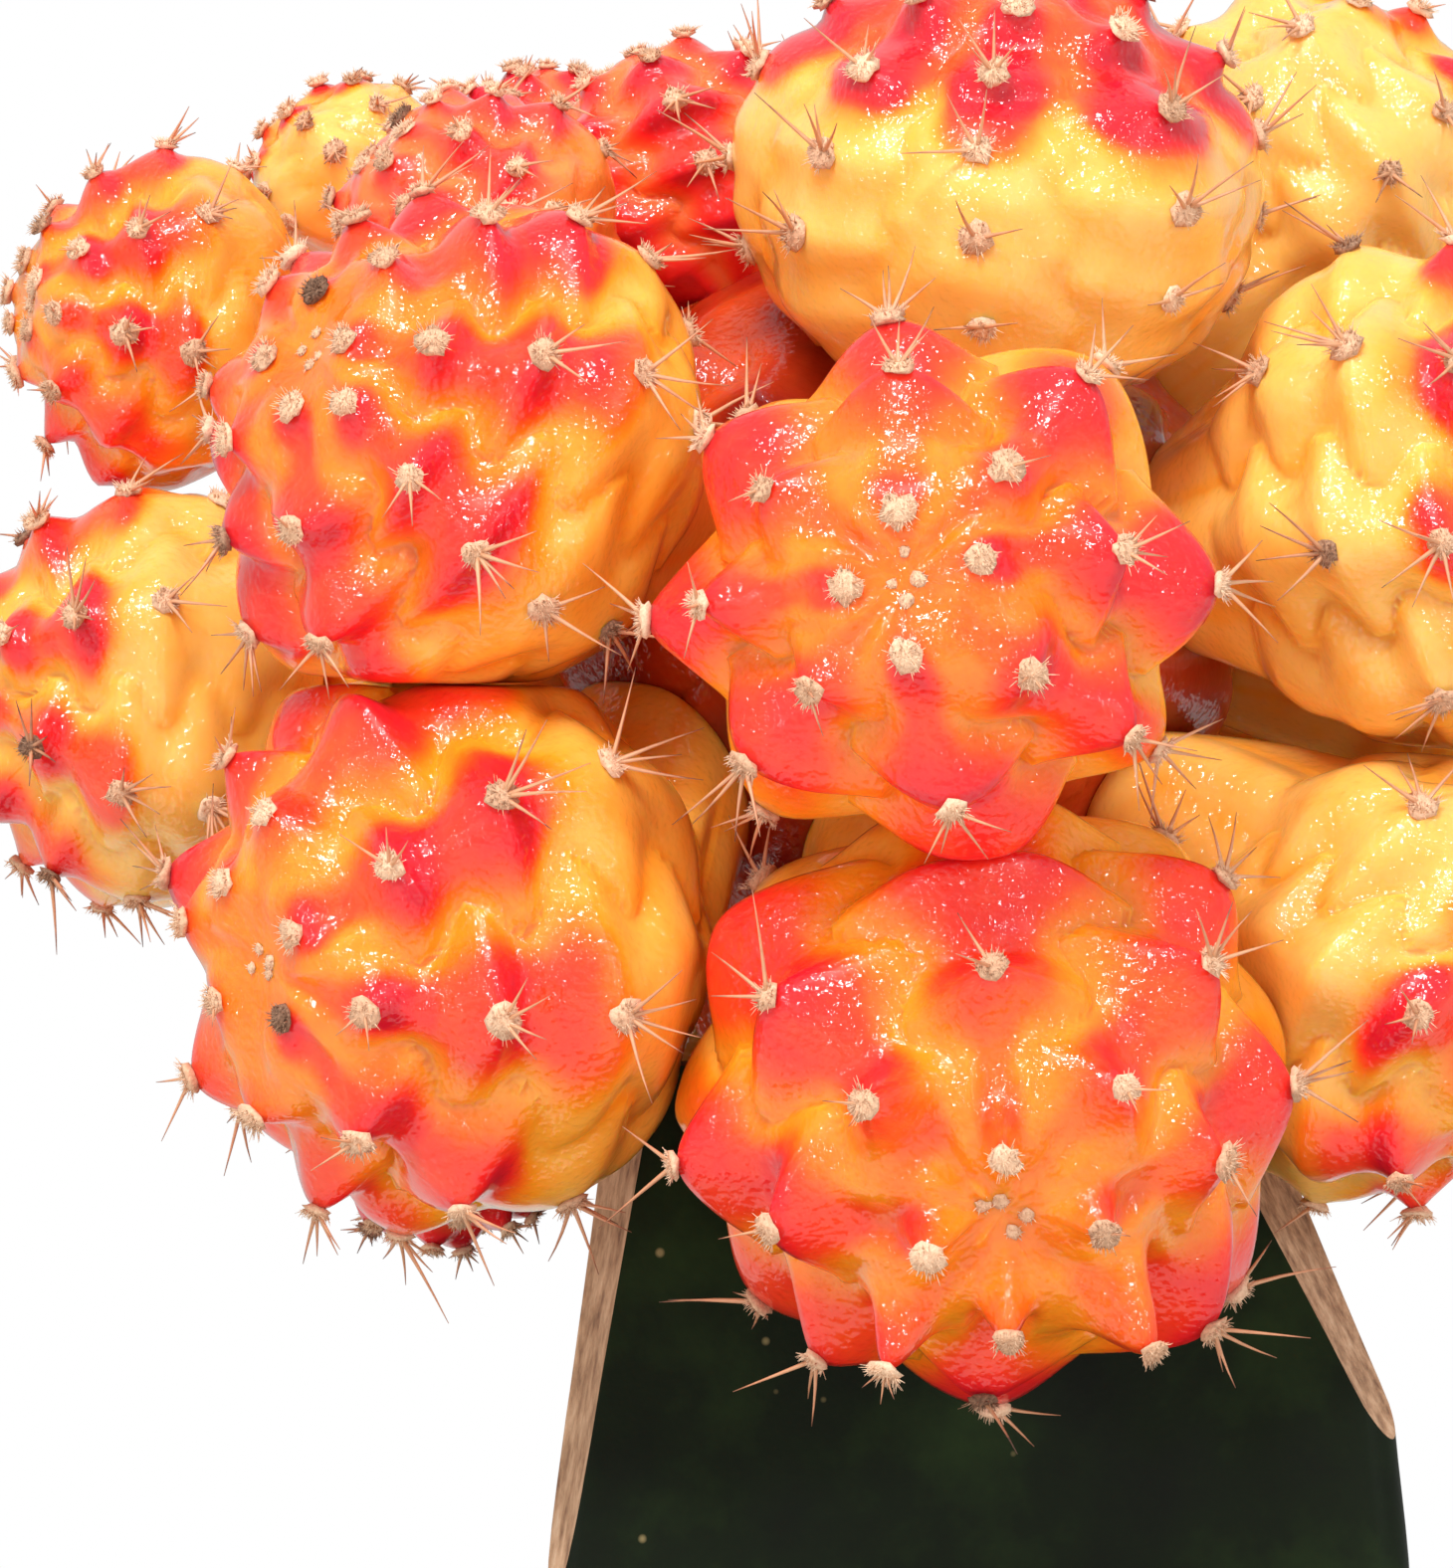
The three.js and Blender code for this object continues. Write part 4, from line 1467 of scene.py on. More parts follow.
@dataclass
class Head:
    """A ribbed head: its place, its form as shares of its radius, and how red it has grown.

    The ribs are counted from the direction "turn". Every second rib is half a spacing behind its
    neighbours, and each furrow swings away from the tubercle beside it. Places and lengths are in
    millimetres. The turns, the blush's edge, the areoles' spacing and the belt are in degrees.
    """

    name: str
    at: tuple[float, float, float]
    radius: float
    turn: float
    flesh: Slot
    blush: float = 0.0
    blush_edge: float = 90
    base_tone: float = 0.06
    tip: Optional[tuple[float, float, float]] = None
    on: str = "head_mother"
    ribs: int = 8
    groove: float = 0.23
    chin: float = 0.11
    bud: float = 0.0
    smooth_base: float = 0.55
    bands: float = 0.0
    spacing: float = 27
    areole_count: int = 4
    old: float = 0.03
    fan: float = 3.0
    fan_turn: float = 0
    fewer_spines: int = 0
    stagger: float = 0.18
    flatness: float = 0.86
    first_areole: float = 12
    tip_hollow: float = 0.1
    wander: float = 0.13
    belt_angle: float = 141
    neck: float = 0.4
    seat: float = 0.84
    sunk: float = 0.75
    cell: float = 0.42
    least_columns: int = 8
    least_rows: int = 28
    gap: float = 0.3
    press: float = 0.3
    centre: np.ndarray = field(init=False)
    growth: np.ndarray = field(init=False)
    axis: np.ndarray = field(init=False)
    side: np.ndarray = field(init=False)
    front: np.ndarray = field(init=False)
    seat_middle: np.ndarray = field(init=False)
    neck_radius: float = field(init=False)
    planes: list[tuple[np.ndarray, float]] = field(init=False, default_factory=list)
    knobs: np.ndarray = field(init=False)
    chins: np.ndarray = field(init=False)
    reds: np.ndarray = field(init=False)
    phases: np.ndarray = field(init=False)

    def plant(self, parent: Optional["Head"], stem: Rootstock) -> None:
        """Works out the head's own directions, its draws, and its seat on its parent or the stem.

        Args:
            parent: the head that it grows from, or nothing for the one that was grafted.
            stem: the rootstock.
        """
        self.centre = np.array(self.at, float)
        if parent is None:
            self.growth = np.array([0.0, 0.0, 1.0])
            self.seat_middle = np.array([0.0, 0.0, stem.top - self.gap])
        else:
            reach = self.centre - parent.centre
            far = float(np.linalg.norm(reach))
            self.growth = reach / far
            distance = min(self.seat * parent.radius, far - self.sunk * self.radius)
            self.seat_middle = parent.centre + self.growth * (distance - self.gap)
            parent.planes.append((self.growth, float(self.growth @ parent.centre) + distance))
        self.neck_radius = self.neck * self.radius
        luck = np.random.default_rng(sum(ord(letter) * 7 for letter in self.name))
        areoles = (self.ribs, RIBS.most_steps)
        self.knobs = luck.uniform(*RIBS.knob_luck, areoles)
        self.chins = luck.uniform(*RIBS.chin_luck, areoles)
        self.reds = luck.uniform(*RIBS.red_luck, areoles)
        self.phases = luck.uniform(0, TURN, 8)
        self.axis = unit(self.tip) if self.tip else self.growth
        side = np.cross([0, 0, 1], self.axis)
        self.side = unit(side) if np.linalg.norm(side) > 0.1 else np.array([1.0, 0.0, 0.0])
        self.front = unit(np.cross(self.axis, self.side))

    def press_on(self, other: "Head") -> None:
        """Adds the flat where this head presses on a neighbour, if they meet.

        Args:
            other: the neighbour.
        """
        reach = other.centre - self.centre
        far = float(np.linalg.norm(reach))
        if self.name == other.on or other.name == self.on or far > self.radius + other.radius:
            return
        normal = reach / far
        share = (far**2 + self.radius**2 - other.radius**2) / (2 * far)
        self.planes.append((normal, float(normal @ self.centre) + share))

    def rib_start(self, rib: np.ndarray) -> np.ndarray:
        """How late a rib's first areole comes, in areole spacings."""
        uneven = 0.5 + 0.5 * np.sin(RIBS.rib_phase * rib + RIBS.turn_phase * math.radians(self.turn))
        return (rib % 2) / 2 + self.stagger * uneven

    def spacings(self, down: np.ndarray, rib: np.ndarray) -> np.ndarray:
        """How many areole spacings a place on a rib lies from that rib's first areole."""
        travelled = (np.degrees(down) - self.first_areole) / self.spacing
        return travelled - self.rib_start(rib)

    def local(self, around: np.ndarray, down: np.ndarray) -> tuple[np.ndarray, np.ndarray, np.ndarray]:
        """Finds the rib that a place belongs to.

        Args:
            around: the angle round the head's axis, from its first rib.
            down: the angle from its tip.

        Returns:
            The rib, how far from its crest to its furrow, and how many spacings down it.
        """
        place = around / TURN * self.ribs
        even = 2 * np.rint(place / 2)
        off = place - even
        sway = self.wander * np.cos(TURN * self.spacings(down, even % self.ribs))
        on_even = np.abs(off) <= 0.5 + sway
        share = np.where(on_even, np.abs(off) / (0.5 + sway), (1 - np.abs(off)) / (0.5 - sway))
        rib = np.where(on_even, even, even + np.sign(off)) % self.ribs
        return rib, np.clip(share, 0, 1), self.spacings(down, rib)

    @staticmethod
    def drawn(table: np.ndarray, rib: np.ndarray, step: np.ndarray) -> np.ndarray:
        """Looks up what was drawn for each areole, by its rib and its number from the tip."""
        return table[rib.astype(int), np.clip(step.astype(int) + 2, 0, table.shape[1] - 1)]

    def reach(
        self, rib: np.ndarray, share: np.ndarray, passed: np.ndarray, down: np.ndarray
    ) -> np.ndarray:
        """How far the skin stands from the head's middle, as a share of the radius.

        Args:
            rib: the rib's number.
            share: 0 on the crest of the rib to 1 in the furrow.
            passed: spacings from the rib's first areole.
            down: the angle from the tip.

        Returns:
            The reach.
        """
        degrees = np.degrees(down)
        near = passed - np.rint(passed)
        left = self.relief_left(degrees)
        furrow = self.groove * smooth_step(*RIBS.furrow_range, degrees) * left
        furrow = furrow * self.slope(share, near, degrees)
        low = 1 - RIBS.notch_low_loss * smooth_step(*RIBS.notch_low_range, degrees)
        settle = smooth_step(*RIBS.notch_range, degrees) * low * left
        across = smooth_step(*RIBS.notch_across, share) * smooth_step(*RIBS.notch_across_range, degrees)
        chin = self.chin * self.drawn(self.chins, rib, np.floor(passed))
        notch = chin * self.wave(passed) * (1 - across) * settle * left
        knobs = self.drawn(self.knobs, rib, np.rint(passed))
        bud = self.bud * knobs * (1 - smooth_step(*RIBS.bud_fades, degrees))
        bud = bud * bell(near, RIBS.bud_width) * bell(share, RIBS.bud_across)
        bud = bud * smooth_step(*RIBS.bud_range, degrees)
        knob = RIBS.knob * knobs * bell(near, RIBS.knob_width) * bell(share, RIBS.knob_across) * settle
        dip = self.tip_hollow / self.flatness * bell(degrees, RIBS.hollow_width)
        level = np.cos(TURN * self.spacings(down, np.zeros_like(rib)))
        band = self.bands * level * smooth_step(*RIBS.band_edge, degrees - self.blush_edge)
        return 1 - furrow - notch + knob + bud - dip + band * (1 - share**2)

    def relief_left(self, degrees: np.ndarray) -> np.ndarray:
        """How much of its relief a rib keeps towards the belt, and where the blush ends."""
        low = 1 - RIBS.low_loss * smooth_step(*RIBS.low_range, degrees)
        return low * (1 - self.smooth_base * smooth_step(*RIBS.plain_edge, degrees - self.blush_edge))

    @staticmethod
    def slope(share: np.ndarray, near: np.ndarray, degrees: np.ndarray) -> np.ndarray:
        """How far the skin has fallen from a rib's crest: to a point beside an areole, round between.

        Args:
            share: 0 on the crest of the rib to 1 in the furrow.
            near: spacings from the nearest areole.
            degrees: the angle from the tip.

        Returns:
            0 for not at all to 1 for the whole depth of the furrow.
        """
        soft = RIBS.crest_softness
        pointed = 1 - (np.sqrt((1 - share) ** 2 + soft**2) - soft) / (math.sqrt(1 + soft**2) - soft)
        pointed = np.sqrt(pointed**2 + RIBS.crest_round) - RIBS.crest_drop
        rounded = smooth_step(0, 1, share**RIBS.valley_power)
        sharp = RIBS.sharp_between + RIBS.sharp_at_areole * bell(near, RIBS.sharp_width)
        return rounded + (pointed - rounded) * sharp * smooth_step(*RIBS.sharp_range, degrees)

    @staticmethod
    def wave(passed: np.ndarray) -> np.ndarray:
        """How deep a rib dips between two areoles: steeply under one, then slowly up to the next.

        Args:
            passed: spacings from the rib's first areole.

        Returns:
            0 at an areole to 1 where the dip is deepest.
        """
        step = passed - np.floor(passed)
        deepest = RIBS.notch_deepest
        cusp = RIBS.notch_cusp_share
        fallen = 1 - np.clip(1 - step / deepest, 0, 1) ** RIBS.notch_cusp
        fallen = cusp * fallen + (1 - cusp) * smooth_step(0, deepest, step)
        risen = 1 - np.clip((step - deepest) / (1 - deepest), 0, 1) ** RIBS.notch_cusp
        risen = cusp * risen + (1 - cusp) * (1 - smooth_step(deepest, 1, step))
        return np.where(step < deepest, fallen, risen)

    def tone(
        self, rib: np.ndarray, share: np.ndarray, passed: np.ndarray, down: np.ndarray
    ) -> np.ndarray:
        """How red the skin is: reddest round the base-ward side of each areole, partly as painted shade of
        the hollow there, and pale at the base.

        Args:
            rib: the rib's number.
            share: 0 on the crest of the rib to 1 in the furrow.
            passed: spacings from the rib's first areole.
            down: the angle from the tip.

        Returns:
            The tones, from 0 to 1.
        """
        degrees = np.degrees(down)
        near = passed - np.rint(passed)
        # Painted shade: the arc just base-ward of each areole deepens the red where the notch makes a
        # hollow, on top of the skin's own deep red there.
        red_and_shade_arc = bell(near - BLUSH.red_and_shade_arc_below - BLUSH.red_and_shade_arc_lean * share, BLUSH.red_and_shade_arc_width)
        red_and_shade_arc = red_and_shade_arc * (1 - smooth_step(*BLUSH.red_and_shade_arc_across, share)) * smooth_step(*BLUSH.red_and_shade_arc_range, degrees)
        outer = smooth_step(*BLUSH.outer_range, degrees)
        start = BLUSH.crest_start + BLUSH.crest_start_outer * outer
        end = BLUSH.crest_end + BLUSH.crest_end_outer * outer
        crest = 1 - smooth_step(start, end, share)
        crest = BLUSH.tip_crest + (crest - BLUSH.tip_crest) * smooth_step(*BLUSH.tip_range, degrees)
        swing = self.drawn(self.reds, rib, np.rint(passed))
        red = BLUSH.ground + (BLUSH.on_crest + BLUSH.on_outer_crest * outer + swing) * crest
        red = red + (BLUSH.red_and_shade_arc + BLUSH.red_and_shade_arc_luck * swing) * red_and_shade_arc
        edge = self.blush_edge + BLUSH.edge_lower_on_crest * crest * (1 - np.abs(near))
        edge = edge - BLUSH.edge_higher_in_furrow * smooth_step(*BLUSH.edge_across, share)
        blushed = 1 - smooth_step(*BLUSH.edge_range, degrees - edge)
        pale = self.base_tone + BLUSH.furrow_tone * smooth_step(*BLUSH.furrow_across, share)
        return np.clip(pale + (red + self.blush - pale) * blushed, 0, 1)

    def strayed(self, around: np.ndarray, down: np.ndarray) -> tuple[np.ndarray, np.ndarray, np.ndarray]:
        """How unevenly a head grows: its angles round and down, and its girth, each slightly off.

        Args:
            around: angles round the head's axis, from its first rib.
            down: angles from its tip.

        Returns:
            The angles round and down as they have grown, and the girth as a factor.
        """

        def sway(size: float, turns: int, lean: float, phase: int) -> np.ndarray:
            """A wave with so many crests round the head, which lean on their way down."""
            return size * np.sin(turns * around + lean * down + self.phases[phase])

        evened = 1.27  # brings the waves to rest at the belt
        fade = np.sin(np.minimum(down * evened, math.pi))
        sideways = sway(size=0.07, turns=2, lean=1.9, phase=0)
        sideways = sideways + sway(size=0.05, turns=3, lean=-2.6, phase=1)
        lower = sway(size=0.06, turns=2, lean=0, phase=2) + sway(size=0.04, turns=3, lean=2.1, phase=3)
        girth = sway(size=0.02, turns=2, lean=2.4, phase=4)
        girth = girth + sway(size=0.014, turns=5, lean=-3, phase=5)
        ripple = sway(size=0.004, turns=11, lean=9, phase=6) * sway(size=1, turns=7, lean=-13, phase=7)
        return around + sideways, down + lower * fade, 1 + (girth + ripple) * fade

    def skin(self, around: np.ndarray, down: np.ndarray) -> tuple[np.ndarray, np.ndarray]:
        """Places of the skin before it presses on anything, and its tones.

        Args:
            around: angles round the head's axis, from its first rib.
            down: angles from its tip.

        Returns:
            The places, one row each, and the tones.
        """
        belt = math.radians(self.belt_angle)
        held = np.minimum(down, belt)
        rib, share, passed = self.local(around, held)
        round_angle, low_angle, girth = self.strayed(around, held)
        reach = self.reach(rib, share, passed, held) * girth
        turned = round_angle + math.radians(self.turn)
        width = self.radius * reach * np.sin(low_angle)
        height = self.radius * reach * self.flatness * np.cos(low_angle)
        place = (
            self.centre
            + self.side * (width * np.cos(turned))[:, None]
            + self.front * (width * np.sin(turned))[:, None]
            + self.axis * height[:, None]
        )
        across = unit(self.side - self.growth * (self.side @ self.growth))
        along = np.cross(self.growth, across)
        seat = self.seat_middle + self.neck_radius * (
            across * np.cos(turned)[:, None] + along * np.sin(turned)[:, None]
        )
        below = (down - held) / (math.pi - belt)
        side_share = np.clip(below / RIBS.side_share, 0, 1)[:, None]
        cap_share = np.clip((below - RIBS.side_share) / (1 - RIBS.side_share), 0, 1)[:, None]
        place = place + (seat - place) * side_share
        place = place + (self.seat_middle - place) * cap_share
        return place, self.tone(rib, share, passed, held)

    def pressed(self, place: np.ndarray) -> np.ndarray:
        """Draws the skin back softly where it would pass a neighbour's flat.

        Args:
            place: places of the skin, one row each.

        Returns:
            The places drawn back.
        """
        for normal, at in self.planes:
            beyond = place @ normal - at
            softened = self.press * np.logaddexp(0, beyond / self.press)
            place = place - normal * softened[:, None]
        return place

    def overhang(self, place: np.ndarray) -> float:
        """How far a place lies past the nearest neighbour's flat."""
        return max((float(place @ normal) - at for normal, at in self.planes), default=-self.radius)

    def body(self) -> bpy.types.Mesh:
        """Makes the skin by moving the vertices of a sphere.

        Returns:
            A closed mesh, in metres.
        """
        columns = self.ribs * max(self.least_columns, round(TURN * self.radius / self.cell / self.ribs))
        rows = max(self.least_rows, round(math.pi * self.radius / self.cell))
        bm = bmesh.new()
        bmesh.ops.create_uvsphere(bm, u_segments=columns, v_segments=rows, radius=1)
        for face in bm.faces:
            face.smooth = True
        mesh = mesh_from(bm, self.name)
        unit_places = vertex_places(mesh)
        down = np.arccos(np.clip(unit_places[:, 2], -1, 1))
        around = np.arctan2(unit_places[:, 1], unit_places[:, 0]) % TURN
        place, tone = self.skin(around, down)
        mesh.vertices.foreach_set("co", (self.pressed(place) * MM).ravel())
        set_tones(mesh, tone)
        return mesh

    def find_areoles(
        self, heads: Sequence["Head"], stem: Rootstock, draw: random.Random
    ) -> list[Areole]:
        """Finds the areoles that aren't pressed flat or buried, and gives them their spines.

        Args:
            heads: all the heads.
            stem: the rootstock.
            draw: the seeded draw.

        Returns:
            The areoles.
        """
        found = []
        for rib in range(self.ribs):
            for step in range(self.areole_count):
                start = float(self.rib_start(np.array(rib)))
                degrees = self.first_areole + self.spacing * (start + step)
                place, outward = self.skin_frame(rib / self.ribs * TURN, math.radians(degrees))
                pressed = self.overhang(place) > -HABIT.clear
                if pressed or self.buried(place, heads, stem, HABIT.pad_reach):
                    continue
                grown = smooth_step(*HABIT.grown_range, np.array(degrees))
                scale = self.radius / HABIT.usual_radius
                areole = Areole(
                    place,
                    outward,
                    pad=draw.uniform(*HABIT.pad) * min(1.0, 0.5 + scale / 2),
                    age=draw.random() * HABIT.age + (HABIT.old_age if draw.random() < self.old else 0.0),
                    fibres=HABIT.fibres,
                    thickness=HABIT.thickness[0] + HABIT.thickness[1] * float(grown),
                )
                self.fan_out(areole, float(grown), heads, stem, draw)
                found.append(areole)
        found += self.tip_wool(draw)
        return found

    def skin_frame(self, around: float, down: float) -> tuple[np.ndarray, np.ndarray]:
        """Finds a place of the skin and the direction that stands out from it.

        Args:
            around: the angle round the head's axis, from its first rib.
            down: the angle from its tip.

        Returns:
            The place and the direction.
        """
        step = 0.03
        arounds = np.array([around, around + step, around - step, around, around])
        downs = np.array([down, down, down, down + step, max(down - step, 0.001)])
        places, _ = self.skin(arounds, downs)
        outward = np.cross(places[1] - places[2], places[3] - places[4])
        outward = unit(outward if outward @ (places[0] - self.centre) > 0 else -outward)
        return places[0], unit(outward + HABIT.upright * unit(places[0] - self.centre))

    def buried(self, place: np.ndarray, heads: Sequence["Head"], stem: Rootstock, share: float) -> bool:
        """Tells whether a place lies inside another head or in the stem.

        Args:
            place: the place.
            heads: all the heads.
            stem: the rootstock.
            share: how much of another head's radius counts.

        Returns:
            True if it does.
        """
        stem_share = 0.75
        if place[2] < stem.top and math.hypot(place[0], place[1]) < stem_share * stem.rib_reach:
            return True
        return any(
            other is not self and np.linalg.norm(place - other.centre) < share * other.radius
            for other in heads
        )

    def fan_out(
        self,
        areole: Areole,
        grown: float,
        heads: Sequence["Head"],
        stem: Rootstock,
        draw: random.Random,
    ) -> None:
        """Gives an areole its fan of slightly bent spines, more and longer ones as it ages.

        Args:
            areole: the areole.
            grown: 0 for one at the tip to 1 for one on the outer ribs.
            heads: all the heads.
            stem: the rootstock.
            draw: the seeded draw.
        """
        sideways = unit(np.cross(self.axis, areole.outward))
        towards_base = unit(np.cross(sideways, areole.outward))
        half_grown = grown < HABIT.half_grown
        counts = HABIT.half_grown_counts if half_grown else HABIT.grown_counts
        count = draw.choice(HABIT.young_counts if grown < HABIT.young else counts)
        count = max(0, count - self.fewer_spines)
        if half_grown:
            first = draw.uniform(0, TURN)
        else:
            first = math.radians(self.fan_turn) + draw.gauss(0, HABIT.first_stray)
        for index in range(count):
            spread = (index + 0.5) / count - 0.5
            around = first + spread * self.fan + draw.uniform(*HABIT.stray)
            lean = draw.uniform(*HABIT.lean)
            flat = sideways * math.sin(around) + towards_base * math.cos(around)
            direction = unit(areole.outward * math.cos(lean) + flat * math.sin(lean))
            grown_length = HABIT.young_length + (1 - HABIT.young_length) * grown
            length = draw.uniform(*HABIT.length) * self.radius * grown_length
            bend = areole.outward * draw.uniform(*HABIT.bend_out)
            bend = bend + sideways * draw.uniform(*HABIT.bend_aside)
            end = areole.place + direction * length
            if not self.buried(end, heads, stem, HABIT.tip_reach):
                areole.spines.append((direction, length, bend))

    def tip_wool(self, draw: random.Random) -> list[Areole]:
        """Places the tiny new areoles round the growing tip.

        Args:
            draw: the seeded draw.

        Returns:
            The areoles, without spines.
        """
        pads = []
        for index in range(HABIT.tip_pads):
            around = (index + draw.uniform(*HABIT.tip_stray)) / HABIT.tip_pads * TURN
            place, outward = self.skin_frame(around, math.radians(draw.uniform(*HABIT.tip_range)))
            pad = draw.uniform(*HABIT.tip_pad)
            pads.append(Areole(place, outward, pad, HABIT.tip_age, HABIT.tip_fibres))
        return pads

    def build(
        self,
        flesh: bpy.types.Material,
        wool: bpy.types.Material,
        horn: bpy.types.Material,
        spines: Spines,
        heads: Sequence["Head"],
        stem: Rootstock,
    ) -> tuple[bpy.types.Object, int]:
        """Makes the whole head and puts it in the scene.

        Args:
            flesh: the skin's material.
            wool: the areoles' material.
            horn: the spines' material.
            spines: what grows the areoles.
            heads: all the heads.
            stem: the rootstock.

        Returns:
            The head and its count of spines.
        """
        draw = random.Random(sum(ord(letter) for letter in self.name) * 31)
        bm = bmesh.new()
        bm.from_mesh(self.body())
        count = spines.add(bm, self.find_areoles(heads, stem, draw), draw, wool=1, horn=2)
        mesh = mesh_from(bm, self.name + "_skin")
        return show(mesh, self.name + "_grown", [flesh, wool, horn]), count


def plan_heads() -> list[Head]:
    """Lists the heads of the cluster as the photograph shows them, and those hidden behind.

    Returns:
        The grafted mother first, and each head after its parent.
    """
    red, yellow, crimson = Slot.ORANGE_RED, Slot.YELLOW, Slot.CRIMSON
    return [
        Head("head_mother", at=(-4.4, 0, 134), radius=19, turn=0, flesh=Slot.DEEP_RED, blush=0.0,
             blush_edge=170, ribs=10, groove=0.14, chin=0.06, neck=12.6 / 19),
        Head("head_front", at=(-2.5, -31, 134.1), radius=11.8, turn=7, flesh=red, blush_edge=86,
             tip=(-0.16, -0.98, 0.03), spacing=34, areole_count=3, chin=0.16, blush=0.16,
             smooth_base=0.1, groove=0.27),
        Head("head_top", at=(0.8, -13, 152.3), radius=11.8, turn=20, flesh=yellow, blush=0.42,
             blush_edge=62, tip=(0.1, -0.25, 0.96), spacing=22, areole_count=5, groove=0.17, chin=0.1,
             smooth_base=0.6, bands=0.012, wander=0.04, fan_turn=180, fewer_spines=1),
        Head("head_upper_left", at=(-23, -20, 140.3), radius=11.8, turn=10, flesh=red, blush=0.16,
             blush_edge=80, tip=(-0.66, -0.6, 0.45), old=0.12, spacing=24, areole_count=5, chin=0.12),
        Head("head_lower_left", at=(-23.5, -19, 119.2), radius=13, turn=30, flesh=red, blush=0.1,
             blush_edge=78, tip=(-0.74, -0.67, -0.08), spacing=28, chin=0.13),
        Head("head_lower_front", at=(-0.1, -23, 112.7), radius=14, turn=5, flesh=red, blush_edge=90,
             tip=(0.04, -0.9, -0.42), spacing=30, chin=0.18, bud=0.17, blush=0.09, smooth_base=0.1,
             groove=0.2),
        Head("head_right", at=(20.2, -13, 138.4), radius=11.8, turn=12, flesh=yellow, blush=0.1,
             blush_edge=66, smooth_base=0.3, groove=0.24, chin=0.13),
        Head("head_lower_right", at=(18.4, -13, 117.4), radius=11, turn=40, flesh=yellow, blush=0.07,
             blush_edge=62, smooth_base=0.3, groove=0.23, chin=0.12),
        Head("head_top_right", at=(16.8, 6, 154.1), radius=9.8, turn=0, flesh=yellow, blush_edge=48,
             base_tone=0.0, smooth_base=0.35, bands=0.012),
        Head("head_top_middle", at=(-13, 3, 153.7), radius=7.6, turn=25, flesh=crimson, blush=0.1,
             blush_edge=150),
        Head("head_top_left", at=(-22.6, -6, 151), radius=7, turn=15, flesh=crimson, blush=0.1,
             blush_edge=84),
        Head("head_left_back", at=(-21, 12, 145), radius=11, turn=8, flesh=red, blush_edge=80),
        Head("head_left_back_top", at=(-19.6, 13, 155.2), radius=5.6, turn=30, flesh=crimson, blush=0.16,
             blush_edge=140, on="head_left_back"),
        Head("head_left_back_tip", at=(-29.3, 15, 155), radius=5, turn=12, flesh=yellow, blush=0.05,
             blush_edge=50, on="head_left_back"),
        Head("head_far_upper_left", at=(-37.6, 6, 147.5), radius=8, turn=33, flesh=red, blush=0.05,
             blush_edge=84, on="head_left_back"),
        Head("head_left_middle", at=(-23, 3.5, 128.5), radius=9, turn=5, flesh=yellow, blush_edge=60),
        Head("head_far_left", at=(-38, 2, 130.1), radius=10.3, turn=22, flesh=yellow, blush_edge=78,
             old=0.4, on="head_left_middle"),
        Head("head_low_left_back", at=(-21, 13, 118.5), radius=11, turn=14, flesh=red, blush_edge=84),
        Head("head_low_left", at=(-24.6, 2, 110.2), radius=6, turn=3, flesh=crimson, blush=0.3,
             blush_edge=150, on="head_low_left_back"),
        Head("head_back", at=(-7, 28.5, 136.5), radius=13, turn=17, flesh=red, blush_edge=92),
        Head("head_back_right", at=(14.5, 20, 139.5), radius=12, turn=36, flesh=yellow, blush_edge=70),
        Head("head_low_back_right", at=(16, 16.5, 119), radius=11, turn=9, flesh=red, blush_edge=86),
        Head("head_top_back", at=(-1.5, 13, 154), radius=10, turn=28, flesh=yellow, blush_edge=66),
        Head("head_far_right", at=(23.5, 4, 131.5), radius=9, turn=19, flesh=yellow, blush_edge=64),
        Head("head_low_back", at=(-3, 26, 118.5), radius=10, turn=24, flesh=red, blush_edge=88),
    ]


@dataclass
class Cluster:
    """The grafted cluster of heads on its stem."""

    stem: Rootstock
    heads: list[Head] = field(default_factory=plan_heads)

    def build(self, spines: Spines, wool: bpy.types.Material, horn: bpy.types.Material) -> None:
        """Plants, presses and makes every head, and ties each to the frame.

        Args:
            spines: what grows the areoles.
            wool: the areoles' material.
            horn: the spines' material.
        """
        planted: dict[str, Head] = {}
        for head in self.heads:
            head.plant(planted.get(head.on), self.stem)
            planted[head.name] = head
        for head in self.heads:
            for other in self.heads:
                if other is not head:
                    head.press_on(other)
        flesh = {
            Slot.DEEP_RED: WaxyFlesh(
                "waxy_flesh_deep_red",
                palette=("#D4541C", "#C84818", "#B83A14", "#A62E12", "#942212", "#7C1814"),
            ).build(),
            Slot.ORANGE_RED: WaxyFlesh("waxy_flesh_orange_red").build(),
            Slot.YELLOW: WaxyFlesh(
                "waxy_flesh_yellow",
                palette=("#FDC266", "#FCAA3A", "#FF861E", "#FC501E", "#F22624", "#D0142A"),
            ).build(),
            Slot.CRIMSON: WaxyFlesh(
                "waxy_flesh_crimson",
                palette=("#FC9838", "#FB7C38", "#FA6032", "#F8462E", "#F02A30", "#C8182E"),
            ).build(),
        }
        for head in self.heads:
            piece, count = head.build(flesh[head.flesh], wool, horn, spines, self.heads, self.stem)
            tie(piece, head.name)
            LOG.info("%s: %d spines", piece.name, count)


# ---------------------------------------------------------------- studio


@dataclass(frozen=True)
class Softbox:
    """A square softbox that faces a point, with places and size in millimetres."""

    name: str
    at: tuple[float, float, float]
    aim: tuple[float, float, float]
    size: float
    watts: float

    def build(self) -> None:
        """Adds the light to the scene."""
        data = bpy.data.lights.new(self.name, "AREA")
        data.size = self.size * MM
        data.energy = self.watts
        light = bpy.data.objects.new(self.name, data)
        light.location = Vector(self.at) * MM
        direction = (Vector(self.aim) - Vector(self.at)).normalized()
        light.rotation_euler = direction.to_track_quat("-Z", "Y").to_euler()
        bpy.context.scene.collection.objects.link(light)


